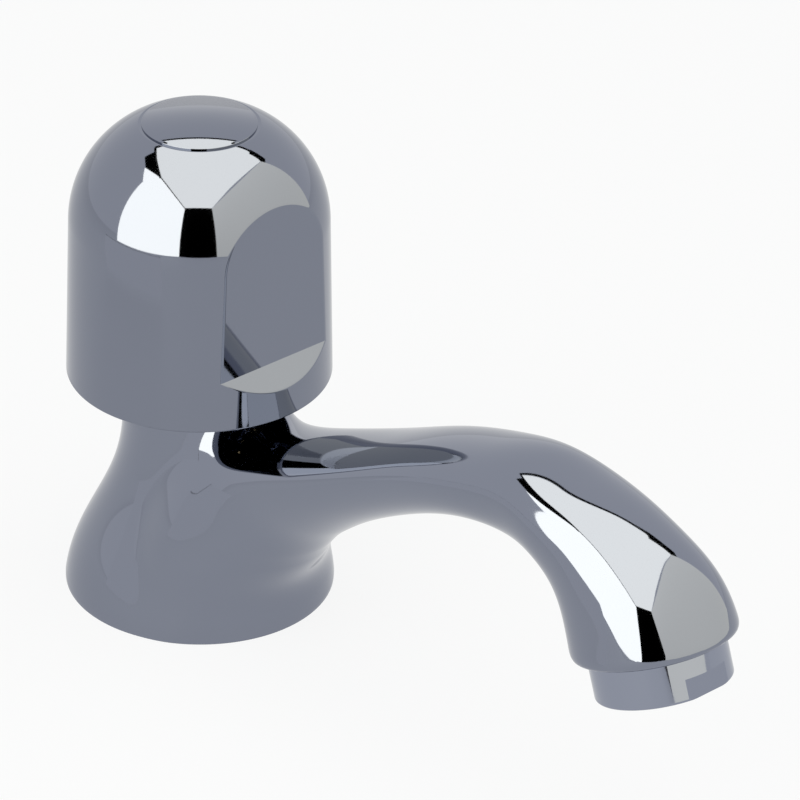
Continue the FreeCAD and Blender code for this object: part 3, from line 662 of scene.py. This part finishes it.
def knob_skin(work, columns, edge):
    """Quarter of the knob's outside: skin, soft edge, flat and ledge, with its seat's level on top."""
    rows, ledge_count = flat_rows(edge, 0.0)
    under = np.concatenate(([RIM_Z + 0.35], np.linspace(RIM_Z + 1, rows[0], 9)[:-1]))
    turns = np.linspace(math.asin((rows[-1] - SHOULDER_Z) / DOME_R),
                        math.asin((SEAT_Z - SHOULDER_Z) / DOME_R), 15)
    over = SHOULDER_Z + DOME_R * np.sin(turns[1:])
    heights = np.concatenate((under, rows, over))
    first, last = len(under), len(under) + len(rows)
    radius = knob_radius(heights)
    start = np.zeros(len(heights))
    start[first:last] = np.arccos(np.clip((cut_plane(rows) - edge) / radius[first:last], -1, 1))
    start[first] = start[last - 1] = 0.0
    share = np.linspace(0, 1, columns + 1)[None, :]
    angles = start[:, None] + (math.pi / 2 - start[:, None]) * share
    tall = heights[:, None] + 0 * angles
    wide = radius[:, None]
    work.add(np.stack((wide * np.cos(angles), wide * np.sin(angles), tall), 2), knob_normals(angles, tall))
    flat, _ = flat_rows(0.0, edge)
    x = cut_plane(flat)
    half = np.sqrt(np.maximum((knob_radius(flat) - edge) ** 2 - x ** 2, 0))
    half[0] = half[-1] = 0.0
    slope = math.radians(LEDGE_SLOPE)
    faces = ((slice(0, ledge_count), (math.sin(slope), 0, math.cos(slope))),
             (slice(ledge_count - 1, len(flat)), (1, 0, 0)))
    outer = np.stack((radius[first:last] * np.cos(start[first:last]),
                      radius[first:last] * np.sin(start[first:last]), rows), 1)
    outer_normal = knob_normals(start[first:last], rows)
    inner = np.stack((x, half, flat), 1)
    for part, normal in faces:
        own = np.array(normal) + 0 * inner[part]
        work.add(np.stack((inner[part], outer[part]), 1), np.stack((own, outer_normal[part]), 1))
        spread = np.linspace(0, 1, 7)[None, :, None]
        centre = inner[part] * (1, 0, 1)
        grid = centre[:, None] + (inner[part] - centre)[:, None] * spread
        work.add(grid, own[:, None] + 0 * grid)
    return work


def knob_inside(work, columns):
    """Rim, cavity, hub, well and seat of the knob, turned with the skin's own columns."""
    angles = np.linspace(0, math.pi / 2, columns + 1)
    inner = DOME_R - KNOB_WALL
    roof = SEAT_Z - KNOB_WALL
    seat_r = SHOULDER_R - DOME_R + math.sqrt(DOME_R ** 2 - (SEAT_Z - SHOULDER_Z) ** 2)
    top = turned_pieces(((seat_r, SEAT_Z), (WELL_R, SEAT_Z), (WELL_R, WELL_Z), (SCREW_HOLE_R, WELL_Z),
                         (SCREW_HOLE_R, BUSH_TOP), (BUSH_R, BUSH_TOP), (BUSH_R, HUB_Z), (HUB_R, HUB_Z),
                         (HUB_R, roof)))
    add_turned(work, top, angles)
    sweep = np.linspace(math.asin((roof - SHOULDER_Z) / inner), 0, 19)
    dome = np.stack((SHOULDER_R - DOME_R + inner * np.cos(sweep), SHOULDER_Z + inner * np.sin(sweep)), 1)
    down = np.stack((np.full(14, SHOULDER_R - KNOB_WALL), np.linspace(SHOULDER_Z, PAD_Z + 0.01, 14)), 1)
    down[:, 0] += (SHOULDER_Z - down[:, 1]) * (RIM_R - SHOULDER_R) / (SHOULDER_Z - RIM_Z)
    ceiling = np.array(((HUB_R, roof), dome[0]))
    for points, clamp in ((ceiling, True), (dome, True), (down, True)):
        r, z = points[:, :1], points[:, 1:]
        x = r * np.cos(angles)
        clamped = np.minimum(x, PAD_X) if clamp else x
        place = np.stack((clamped, r * np.sin(angles), z + 0 * x), 2)
        if points is ceiling:
            normal = np.stack((0 * x, 0 * x, -1 + 0 * x), 2)
        elif points is dome:
            normal = np.stack((-(r - SHOULDER_R + DOME_R) * np.cos(angles) / inner,
                               -(r - SHOULDER_R + DOME_R) * np.sin(angles) / inner,
                               -(z - SHOULDER_Z) / inner + 0 * x), 2)
        else:
            normal = np.stack((-np.cos(angles) + 0 * x, -np.sin(angles) + 0 * x, 0 * x), 2)
        normal[x > PAD_X] = (-1, 0, 0)
        work.add(place, normal)
    pad_r = float(down[-1, 0])
    x, y = pad_r * np.cos(angles), pad_r * np.sin(angles)
    step = np.stack((np.stack((np.minimum(x, PAD_X), y, 0 * x + PAD_Z + 0.01), 1),
                     np.stack((x, y, 0 * x + PAD_Z), 1)))
    work.add(step, np.broadcast_to((0.0, 0.0, -1.0), step.shape))
    rim = turned_pieces(((pad_r, PAD_Z), (RIM_R - KNOB_WALL, RIM_Z, 0.3), (RIM_R, RIM_Z, 0.35),
                         (float(knob_radius(RIM_Z + 0.35)), RIM_Z + 0.35)))
    add_turned(work, rim, angles)


# Node trees
def tree_with(name, inputs):
    """New geometry tree with named inputs, its group input and output nodes and a linker."""
    tree = bpy.data.node_groups.new(name, "GeometryNodeTree")
    face = tree.interface
    face.new_socket("Geometry", in_out="INPUT", socket_type="NodeSocketGeometry")
    for label, kind, default in inputs:
        face.new_socket(label, in_out="INPUT", socket_type=kind).default_value = default
    face.new_socket("Geometry", in_out="OUTPUT", socket_type="NodeSocketGeometry")
    source = tree.nodes.new("NodeGroupInput")
    sink = tree.nodes.new("NodeGroupOutput")

    def node(kind, settings=(), **sockets):
        made = tree.nodes.new(kind)
        for key, value in dict(settings).items():
            setattr(made, key, value)
        for key, value in sockets.items():
            socket = made.inputs[key.replace("_", " ")]
            if isinstance(value, bpy.types.NodeSocket):
                tree.links.new(value, socket)
            else:
                socket.default_value = value
        return made
    return tree, source, sink, node


def grown(tree, values, name):
    """Plain mesh that a geometry tree makes with the given inputs."""
    holder = placed(bpy.data.meshes.new(name), name)
    grow = holder.modifiers.new("grow", "NODES")
    grow.node_group = tree
    for item in tree.interface.items_tree:
        if item.in_out == "INPUT" and item.name in values:
            grow[item.identifier] = values[item.name]
    mesh = bpy.data.meshes.new_from_object(holder.evaluated_get(bpy.context.evaluated_depsgraph_get()))
    bpy.data.objects.remove(holder)
    return mesh


def thread_tree():
    """Helical ridge about Z: a spiral that carries a four-sided profile."""
    tree, source, sink, node = tree_with("helical_thread", (
        ("Radius", "NodeSocketFloat", 0.01), ("Length", "NodeSocketFloat", 0.018),
        ("Turns", "NodeSocketFloat", 9.0), ("Ridge", "NodeSocketFloat", 0.0008),
        ("Material", "NodeSocketMaterial", None)))
    spiral = node("GeometryNodeCurveSpiral", Resolution=64, Start_Radius=source.outputs["Radius"],
                  End_Radius=source.outputs["Radius"], Height=source.outputs["Length"],
                  Rotations=source.outputs["Turns"])
    profile = node("GeometryNodeCurvePrimitiveCircle", Resolution=4, Radius=source.outputs["Ridge"])
    ridge = node("GeometryNodeCurveToMesh", Curve=spiral.outputs["Curve"],
                 Profile_Curve=profile.outputs["Curve"], Fill_Caps=True)
    real = node("GeometryNodeRealizeInstances", Geometry=ridge.outputs["Mesh"])
    dressed = node("GeometryNodeSetMaterial", Geometry=real.outputs["Geometry"],
                   Material=source.outputs["Material"])
    tree.links.new(dressed.outputs["Geometry"], sink.inputs["Geometry"])
    return tree


def rib_tree():
    """Flat ribs set round Z between a hub and a wall."""
    tree, source, sink, node = tree_with("ribs", (
        ("Count", "NodeSocketInt", 6), ("Inner", "NodeSocketFloat", 0.008),
        ("Length", "NodeSocketFloat", 0.01), ("Thickness", "NodeSocketFloat", 0.0016),
        ("Height", "NodeSocketFloat", 0.008), ("Material", "NodeSocketMaterial", None)))
    size = node("ShaderNodeCombineXYZ", X=source.outputs["Length"], Y=source.outputs["Thickness"],
                Z=source.outputs["Height"])
    rib = node("GeometryNodeMeshCube", Size=size.outputs["Vector"])
    half = node("ShaderNodeMath", {"operation": "MULTIPLY_ADD"})
    tree.links.new(source.outputs["Length"], half.inputs[0])
    half.inputs[1].default_value = 0.5
    tree.links.new(source.outputs["Inner"], half.inputs[2])
    ring = node("GeometryNodeMeshCircle", Vertices=source.outputs["Count"], Radius=half.outputs["Value"])
    index = node("GeometryNodeInputIndex")
    step = node("ShaderNodeMath", {"operation": "DIVIDE"})
    step.inputs[0].default_value = 2 * math.pi
    tree.links.new(source.outputs["Count"], step.inputs[1])
    turn = node("ShaderNodeMath", {"operation": "MULTIPLY"})
    tree.links.new(index.outputs["Index"], turn.inputs[0])
    tree.links.new(step.outputs["Value"], turn.inputs[1])
    spin = node("ShaderNodeCombineXYZ", Z=turn.outputs["Value"])
    spread = node("GeometryNodeInstanceOnPoints", Points=ring.outputs["Mesh"],
                  Instance=rib.outputs["Mesh"], Rotation=spin.outputs["Vector"])
    real = node("GeometryNodeRealizeInstances", Geometry=spread.outputs["Instances"])
    dressed = node("GeometryNodeSetMaterial", Geometry=real.outputs["Geometry"],
                   Material=source.outputs["Material"])
    tree.links.new(dressed.outputs["Geometry"], sink.inputs["Geometry"])
    return tree


# Materials
def surface(name, colour, metallic, roughness, grain=900.0, depth=0.00001, vary=0.02, tint=0.04):
    """Shader with fine grain in its gloss, its colour and its height, on object coordinates."""
    made = bpy.data.materials.get(name)
    if made:
        return made
    made = bpy.data.materials.new(name)
    made.use_nodes = True
    nodes, links = made.node_tree.nodes, made.node_tree.links
    shader = nodes["Principled BSDF"]
    shader.inputs["Metallic"].default_value = metallic
    place = nodes.new("ShaderNodeTexCoord")
    fine = nodes.new("ShaderNodeTexNoise")
    fine.inputs["Scale"].default_value = grain
    fine.inputs["Detail"].default_value = 3.0
    broad = nodes.new("ShaderNodeTexNoise")
    broad.inputs["Scale"].default_value = grain / 12
    gloss = nodes.new("ShaderNodeMapRange")
    gloss.inputs["To Min"].default_value = max(roughness - vary, 0.0)
    gloss.inputs["To Max"].default_value = roughness + vary
    shade = nodes.new("ShaderNodeMix")
    shade.data_type = "RGBA"
    shade.inputs["A"].default_value = (*[c * (1 - tint) for c in colour], 1)
    shade.inputs["B"].default_value = (*[min(c * (1 + tint), 1) for c in colour], 1)
    bump = nodes.new("ShaderNodeBump")
    bump.inputs["Strength"].default_value = 0.4
    bump.inputs["Distance"].default_value = depth
    for noise in (fine, broad):
        links.new(place.outputs["Object"], noise.inputs["Vector"])
    links.new(broad.outputs["Fac"], gloss.inputs["Value"])
    links.new(gloss.outputs["Result"], shader.inputs["Roughness"])
    links.new(broad.outputs["Fac"], shade.inputs["Factor"])
    links.new(shade.outputs["Result"], shader.inputs["Base Color"])
    links.new(fine.outputs["Fac"], bump.inputs["Height"])
    links.new(bump.outputs["Normal"], shader.inputs["Normal"])
    return made


def chrome(name, lift=1.0):
    """Polished plating in the finish's colour; lift makes a lighter copy of it for a piece, painted light on
    that piece.
    """
    finish = bpy.context.scene.tap_finish
    colour = [c * lift for c in finish.chrome]
    return surface(name, colour, 1.0, finish.chrome_gloss, grain=700.0, depth=0.0000015,
                   vary=0.012, tint=0.015)


def dress(obj, material, body=None, replaces=()):
    """Gives a piece its material, the CAD body it rides on and what it stands for."""
    obj.data.materials.clear()
    obj.data.materials.append(material)
    if body:
        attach(obj, body)
    if replaces:
        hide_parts(*replaces)
    return obj


class PieceOperator:
    """What the piece operators share."""
    bl_options = {"REGISTER"}

    @classmethod
    def poll(cls, context):
        return context.scene is not None


class TAP_OT_body(PieceOperator, bpy.types.Operator):
    """Make the chromed body: skirt and spout in one soft skin, with its bores"""
    bl_idname = "tap.body"
    bl_label = "Body casting"

    def execute(self, context):
        spacing = context.scene.tap_sizes.grid / MM
        field = BodyField()
        points, quads = surface_net(field, spacing)
        points = settled(field, points, quads)
        mesh = bpy.data.meshes.new("body")
        mesh.from_pydata((points * MM).tolist(), [], quads.tolist())
        work = bmesh.new()
        work.from_mesh(mesh)
        everything = work.verts[:] + work.edges[:] + work.faces[:]
        cut = bmesh.ops.bisect_plane(work, geom=everything, plane_co=(0, 0, 0), plane_no=(0, 0, 1),
                                     clear_inner=True, dist=1e-7)
        rim = [e for e in cut["geom_cut"] if isinstance(e, bmesh.types.BMEdge)]
        bmesh.ops.contextual_create(work, geom=rim)
        bmesh.ops.recalc_face_normals(work, faces=work.faces)
        work.to_mesh(mesh)
        work.free()
        body = cut_body(placed(mesh, "body"), body_cutters())
        field_normals(body.data, field)
        # The body's plating is painted a little lighter than the knob's: painted light.
        dress(body, chrome("Body chrome", 1.05), "tap_body", ("body_casting",))
        return {"FINISHED"}


class TAP_OT_knob(PieceOperator, bpy.types.Operator):
    """Make the domed knob with its two flats, sloping ledges, hub and ribs"""
    bl_idname = "tap.knob"
    bl_label = "Knob"

    def execute(self, context):
        sizes = context.scene.tap_sizes
        work = Patchwork()
        knob_skin(work, sizes.columns, sizes.knob_edge / MM)
        knob_inside(work, sizes.columns)
        work.mirrored(1)
        work.mirrored(0)
        knob = placed(work.mesh("knob"), "knob")
        dress(knob, chrome("Knob chrome"), "handle", ("knob_shell",))
        ribs = grown(rib_tree(), {"Count": sizes.ribs, "Inner": RIB_INNER, "Length": RIB_LENGTH,
                                  "Thickness": RIB_T, "Height": RIB_HEIGHT,
                                  "Material": chrome("Knob chrome")}, "knob_ribs")
        ribs.transform(Matrix.Translation((0, 0, RIB_Z)) @ Matrix.Rotation(math.pi / sizes.ribs, 4, "Z"))
        dress(placed(ribs, "knob_ribs"), chrome("Knob chrome"), "handle")
        return {"FINISHED"}


class TAP_OT_cap(PieceOperator, bpy.types.Operator):
    """Make the low domed cap on top of the knob"""
    bl_idname = "tap.cap"
    bl_label = "Index cap"

    def execute(self, context):
        work = Patchwork()
        edge_z, crown_z = SEAT_Z + CAP_EDGE_H, SEAT_Z + CAP_CROWN_H
        rise = crown_z - edge_z
        sphere = (CAP_EDGE_R ** 2 + rise ** 2) / (2 * rise)
        sweep = np.linspace(math.asin(CAP_EDGE_R / sphere), 0, 22)
        dome = np.stack((sphere * np.sin(sweep), crown_z - sphere * (1 - np.cos(sweep))), 1)
        lean = dome[:, 0] / CAP_SHADE_R
        normal = np.stack((lean, np.sqrt(1 - lean ** 2)), 1)
        side = turned_pieces(((0, SEAT_Z - 0.3), (CAP_SKIRT_BORE_R, SEAT_Z - 0.3),
                              (CAP_SKIRT_BORE_R, CAP_SKIRT_Z), (CAP_SKIRT_R, CAP_SKIRT_Z),
                              (CAP_SKIRT_R, SEAT_Z), (CAP_R, SEAT_Z), (CAP_R, SEAT_Z + CAP_SIDE_H, 0.1),
                              (CAP_EDGE_R, edge_z)))
        add_turned(work, side + [(dome, normal)], full_turn(192))
        dress(placed(work.mesh("cap"), "cap"), chrome("Cap chrome"), "handle",
              ("index_cap",))
        return {"FINISHED"}


class TAP_OT_collar(PieceOperator, bpy.types.Operator):
    """Make the aerator's collar with its two spanner flats"""
    bl_idname = "tap.collar"
    bl_label = "Aerator collar"

    def execute(self, context):
        work = Patchwork()
        low, shelf = -COLLAR_DROP, -COLLAR_DROP + SPANNER_H
        lip = low + COLLAR_LIP_H
        outside = turned_pieces(((COLLAR_LIP_R, low), (COLLAR_R, low, 0.5), (COLLAR_R, shelf)))
        above = turned_pieces(((COLLAR_R, shelf), (COLLAR_R, COLLAR_TOP), (COLLAR_THREAD_R, COLLAR_TOP),
                               (COLLAR_THREAD_R, COLLAR_THREAD_TOP), (COLLAR_BORE_R, COLLAR_THREAD_TOP),
                               (COLLAR_BORE_R, lip), (COLLAR_LIP_R, lip), (COLLAR_LIP_R, low)))
        reach = math.acos(SPANNER_X / COLLAR_R)
        wide = np.concatenate((np.linspace(-reach, reach, 25), np.linspace(reach, math.pi - reach, 73)[1:],
                               np.linspace(math.pi - reach, math.pi + reach, 25)[1:],
                               np.linspace(math.pi + reach, 2 * math.pi - reach, 73)[1:]))
        add_turned(work, above, wide)
        for start, end, count, flat in ((-reach, reach, 25, 1), (reach, math.pi - reach, 73, 0),
                                        (math.pi - reach, math.pi + reach, 25, -1),
                                        (math.pi + reach, 2 * math.pi - reach, 73, 0)):
            part = Patchwork()
            angles = np.linspace(start, end, count)
            add_turned(part, outside, angles)
            for quads, normals in zip(part.points, part.normals):
                beyond = np.abs(quads[..., 0]) > SPANNER_X - 1e-6
                if flat:
                    normals[beyond & (np.abs(normals[..., 2]) < 0.9)] = (flat, 0, 0)
                    quads[..., 0] = np.clip(quads[..., 0], -SPANNER_X, SPANNER_X)
            work.points += part.points
            work.normals += part.normals
            if flat:
                c, s = COLLAR_R * np.cos(angles), COLLAR_R * np.sin(angles)
                tall = 0 * c + shelf
                shelf_rows = np.stack((np.stack((np.clip(c, -SPANNER_X, SPANNER_X), s, tall), 1),
                                       np.stack((c, s, tall), 1)))
                work.add(shelf_rows, np.broadcast_to((0.0, 0.0, -1.0), shelf_rows.shape))
        collar = placed(to_mouth(work.mesh("collar")), "collar")
        # The collar's plating is painted lighter than the rest of the chrome: painted light.
        dress(collar, chrome("Collar chrome", 1.3), "tap_body", ("aerator_housing",))
        return {"FINISHED"}


class TAP_OT_tail(PieceOperator, bpy.types.Operator):
    """Make the threaded tail: a turned core that carries two helical ridges"""
    bl_idname = "tap.tail"
    bl_label = "Threaded tail"

    def execute(self, context):
        sizes = context.scene.tap_sizes
        finish = context.scene.tap_finish
        brass = surface("Tail brass", finish.brass, 1.0, 0.28, grain=1400.0)
        root = TAIL_R - THREAD_DEPTH
        work = Patchwork()
        outline = ((TAIL_BORE_R, TAIL_LOW, 0.2), (root, TAIL_LOW, 0.4), (root, GROOVE_LOW),
                   (GROOVE_R, GROOVE_LOW), (GROOVE_R, GROOVE_HIGH), (root, GROOVE_HIGH), (root, 0),
                   (TAIL_R, 0.4), (TAIL_R, TAIL_TOP, 0.2), (TAIL_BORE_R, TAIL_TOP, 0.2))
        add_turned(work, turned_pieces(outline, closed=True), full_turn(128))
        core = placed(work.mesh("tail_core"), "tail_core")
        dress(core, brass, "tap_body", ("inlet_shank",))
        tree = thread_tree()
        for name, low, high in (("tail_thread_low", TAIL_LOW + 0.9, GROOVE_LOW - 0.7),
                                ("tail_thread_high", GROOVE_HIGH + 0.7, -0.8)):
            length = (high - low) * MM
            coil = grown(tree, {"Radius": (TAIL_R - THREAD_RIDGE) * MM, "Length": length,
                                "Turns": length / sizes.pitch, "Ridge": THREAD_RIDGE * MM,
                                "Material": brass}, name)
            coil.transform(Matrix.Translation((0, 0, low * MM)))
            dress(placed(coil, name), brass, "tap_body")
        return {"FINISHED"}


class TAP_OT_fittings(PieceOperator, bpy.types.Operator):
    """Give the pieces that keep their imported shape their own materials"""
    bl_idname = "tap.fittings"
    bl_label = "Fittings"

    def execute(self, context):
        finish = context.scene.tap_finish
        brass = surface("Turned brass", finish.brass, 1.0, 0.25, grain=1500.0)
        steel = surface("Plated steel", finish.steel, 1.0, 0.3, grain=1300.0)
        rubber = surface("Black rubber", finish.rubber, 0.0, 0.62, grain=2200.0, depth=0.00003)
        fibre = surface("Fibre", finish.fibre, 0.0, 0.8, grain=2600.0, depth=0.00004, tint=0.2)
        graphite = surface("Graphite packing", finish.graphite, 0.2, 0.5, grain=2600.0, depth=0.00004)
        plastic = surface("White plastic", finish.plastic, 0.0, 0.38, grain=800.0)
        screen = surface("Screen steel", finish.steel, 1.0, 0.22, grain=3000.0, depth=0.00004)
        groups = {
            brass: ("headwork_bonnet", "gland_nut", "gland_follower", "spindle", "jumper_valve",
                    "jumper_nut", "back_nut"),
            steel: ("clamp_washer", "knob_screw", "screw_washer"),
            rubber: ("base_gasket", "rubber_washer", "seat_washer", "aerator_gasket"),
            fibre: ("bonnet_gasket",),
            graphite: ("gland_packing",),
            plastic: ("aerator_insert", "spline_bush"),
            screen: ("aerator_screen",),
        }
        for material, names in groups.items():
            for name in names:
                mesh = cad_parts[name].data
                mesh.materials.clear()
                mesh.materials.append(material)
        return {"FINISHED"}


# Studio
def staged(points, faces, name, material):
    """Stage mesh with its material."""
    mesh = bpy.data.meshes.new(name)
    mesh.from_pydata(points, [], faces)
    mesh.materials.append(material)
    made = placed(mesh, name)
    made.visible_camera = not name.startswith("tent")
    return made


def ranged(tree, value, low, high):
    """Value from a range of nought to one put between two levels."""
    level = tree.nodes.new("ShaderNodeMapRange")
    level.inputs["To Min"].default_value = low
    level.inputs["To Max"].default_value = high
    tree.links.new(value, level.inputs["Value"])
    return level.outputs["Result"]


def seen_rays(tree):
    """Whether a ray shows its end as seen, in a mirror or through glass, and whether by the camera."""
    ray = tree.nodes.new("ShaderNodeLightPath")
    value = ray.outputs["Is Camera Ray"]
    for other in ("Is Glossy Ray", "Is Transmission Ray"):
        total = tree.nodes.new("ShaderNodeMath")
        total.operation = "ADD"
        tree.links.new(value, total.inputs[0])
        tree.links.new(ray.outputs[other], total.inputs[1])
        value = total.outputs["Value"]
    return value, ray.outputs["Is Camera Ray"]


def pale_floor(material, share, mirrored):
    """Makes a floor pale where it is seen, and leaves the rest of it to the light and its shadows."""
    tree = material.node_tree
    seen, camera = seen_rays(tree)
    light = tree.nodes.new("ShaderNodeEmission")
    tree.links.new(ranged(tree, camera, mirrored, 1.0), light.inputs["Strength"])
    mix = tree.nodes.new("ShaderNodeMixShader")
    tree.links.new(ranged(tree, seen, 0.0, share), mix.inputs["Fac"])
    tree.links.new(tree.nodes["Principled BSDF"].outputs["BSDF"], mix.inputs[1])
    tree.links.new(light.outputs["Emission"], mix.inputs[2])
    tree.links.new(mix.outputs["Shader"], tree.nodes["Material Output"].inputs["Surface"])


def glow(name, strength, lift=0.0, colour=None):
    """Plain light of a tent's sheet, with a slow change over its width."""
    made = bpy.data.materials.new(name)
    made.use_nodes = True
    nodes, links = made.node_tree.nodes, made.node_tree.links
    nodes.clear()
    light = nodes.new("ShaderNodeEmission")
    out = nodes.new("ShaderNodeOutputMaterial")
    light.inputs["Strength"].default_value = strength
    light.inputs["Color"].default_value = (*(colour or bpy.context.scene.tap_studio.warmth), 1)
    links.new(light.outputs["Emission"], out.inputs["Surface"])
    if lift:
        place = nodes.new("ShaderNodeTexCoord")
        split = nodes.new("ShaderNodeSeparateXYZ")
        ramp = nodes.new("ShaderNodeMapRange")
        ramp.inputs["From Max"].default_value = 1.2
        ramp.inputs["To Min"].default_value = strength
        ramp.inputs["To Max"].default_value = strength * (1 + lift)
        links.new(place.outputs["Object"], split.inputs["Vector"])
        links.new(split.outputs["Z"], ramp.inputs["Value"])
        links.new(ramp.outputs["Result"], light.inputs["Strength"])
    return made


def tent_place(lateral, forward, height, scale):
    """Point of the tent from shares of its height to the camera's right, towards it and up."""
    right = Vector(CAMERA_RIGHT).to_2d().normalized()
    ahead = -Vector(CAMERA_FORWARD).to_2d().normalized()
    flat = (right * lateral + ahead * forward) * scale
    return (flat.x, flat.y, TENT_EYE_Z + height * scale)


def tent(studio):
    """Lit and black panels of the tent, which the camera doesn't see."""
    scale = studio.height

    def sheet(name, spots, light):
        staged([tent_place(*spot, scale) for spot in spots], [tuple(range(len(spots)))], name, light)
    sheet("tent_ceiling", [(*spot, 1.0) for spot in TENT_CEILING], glow("Ceiling light", studio.ceiling))
    lowest = (TENT_LOWEST - TENT_EYE_Z) / scale
    for name, outline, light in (
            ("tent_left", TENT_LEFT, glow("Left light", studio.left)),
            ("tent_right", TENT_RIGHT, glow("Right light", studio.right, 0.2)),
            ("tent_gap", TENT_GAP, glow("Dark gap", 0.0))):
        sheet(name, [(a, b, max(up, lowest)) for a, b, up in outline], light)
    black = glow("Dark frame", 0.0)
    for i, low in TENT_FRAMES:
        a, b = TENT_CEILING[i], TENT_CEILING[(i + 1) % len(TENT_CEILING)]
        sheet(f"tent_frame_{i}", [(*a, 1.0), (*b, 1.0), (*b, low), (*a, low)], black)
    for i, outline in enumerate(TENT_DARK):
        sheet(f"tent_dark_{i}", [(*spot, 0.99) for spot in outline], black)
    return black


def card(studio, black):
    """Small bent card beside the foot with a black top edge, which shows in the plating only."""
    low, edge, high = (z * MM for z in CARD_HEIGHTS)
    pale = glow("Card light", studio.card, 0.0, (1, 1, 1))
    for name, bottom, top, light in (("tent_card", low, edge, pale), ("tent_card_edge", edge, high, black)):
        points = []
        for turn in np.radians(np.linspace(*CARD_TURNS, 9)):
            x, y, _ = tent_place(math.cos(turn), math.sin(turn), 0, CARD_AWAY * MM)
            points += [(x, y, bottom), (x, y, top)]
        faces = [(2 * i, 2 * i + 2, 2 * i + 3, 2 * i + 1) for i in range(8)]
        staged(points, faces, name, light).visible_diffuse = False


def surroundings(studio):
    """Pale world: one strength where it is seen, another as a light."""
    world = bpy.context.scene.world or bpy.data.worlds.new("World")
    bpy.context.scene.world = world
    world.use_nodes = True
    back = world.node_tree.nodes["Background"]
    back.inputs["Color"].default_value = (1, 1, 1, 1)
    seen, _ = seen_rays(world.node_tree)
    level = ranged(world.node_tree, seen, studio.fill, studio.backdrop)
    world.node_tree.links.new(level, back.inputs["Strength"])


def camera():
    """Camera at the photograph's angle."""
    made = bpy.data.objects.new("camera", bpy.data.cameras.new("camera"))
    bpy.context.scene.collection.objects.link(made)
    made.data.lens = LENS_MM
    made.data.sensor_width = 36
    made.data.clip_end = 50
    forward = Vector(CAMERA_FORWARD).normalized()
    right = Vector(CAMERA_RIGHT)
    right = (right - forward * right.dot(forward)).normalized()
    turn = Matrix((right, right.cross(forward), -forward)).transposed().to_4x4()
    made.matrix_world = Matrix.Translation(CAMERA_PLACE) @ turn
    bpy.context.scene.camera = made


class TAP_OT_studio(PieceOperator, bpy.types.Operator):
    """Make the floor, the light tent, the pale surroundings and the camera"""
    bl_idname = "tap.studio"
    bl_label = "Studio"

    def execute(self, context):
        studio = context.scene.tap_studio
        floor = surface("Floor paint", studio.floor, 0.0, 0.6, grain=60.0, depth=0.0, tint=0.004)
        pale_floor(floor, studio.floor_share, studio.mirrored)
        half = FLOOR_HALF
        staged([(-half, -half, 0), (half, -half, 0), (half, half, 0), (-half, half, 0)],
               [(0, 1, 2, 3)], "floor", floor)
        card(studio, tent(studio))
        surroundings(studio)
        camera()
        context.scene.view_settings.view_transform = "Standard"
        return {"FINISHED"}


STEPS = (TAP_OT_body, TAP_OT_knob, TAP_OT_cap, TAP_OT_collar, TAP_OT_tail, TAP_OT_fittings,
         TAP_OT_studio)


class TAP_PT_panel(bpy.types.Panel):
    """Steps and settings of the tap"""
    bl_label = "Basin tap"
    bl_idname = "TAP_PT_panel"
    bl_space_type = "VIEW_3D"
    bl_region_type = "UI"
    bl_category = "Tap"

    def draw(self, context):
        for step in STEPS:
            self.layout.operator(step.bl_idname)
        for group in (context.scene.tap_sizes, context.scene.tap_finish, context.scene.tap_studio):
            box = self.layout.box()
            for name in group.__annotations__:
                box.prop(group, name)


GROUPS = (("tap_sizes", TapSizes), ("tap_finish", TapFinish), ("tap_studio", TapStudio))
CLASSES = tuple(group for _, group in GROUPS) + STEPS + (TAP_PT_panel,)


def register():
    """Registers the classes and hangs the settings on the scene."""
    for item in CLASSES:
        bpy.utils.register_class(item)
    for name, group in GROUPS:
        setattr(bpy.types.Scene, name, PointerProperty(type=group))


def unregister():
    """Takes the settings and the classes away again."""
    for name, _ in GROUPS:
        delattr(bpy.types.Scene, name)
    for item in reversed(CLASSES):
        bpy.utils.unregister_class(item)


def main():
    """Makes every piece and the studio."""
    register()
    bpy.ops.tap.body()
    bpy.ops.tap.knob()
    bpy.ops.tap.cap()
    bpy.ops.tap.collar()
    bpy.ops.tap.tail()
    bpy.ops.tap.fittings()
    bpy.ops.tap.studio()


if __name__ == "__main__":
    main()
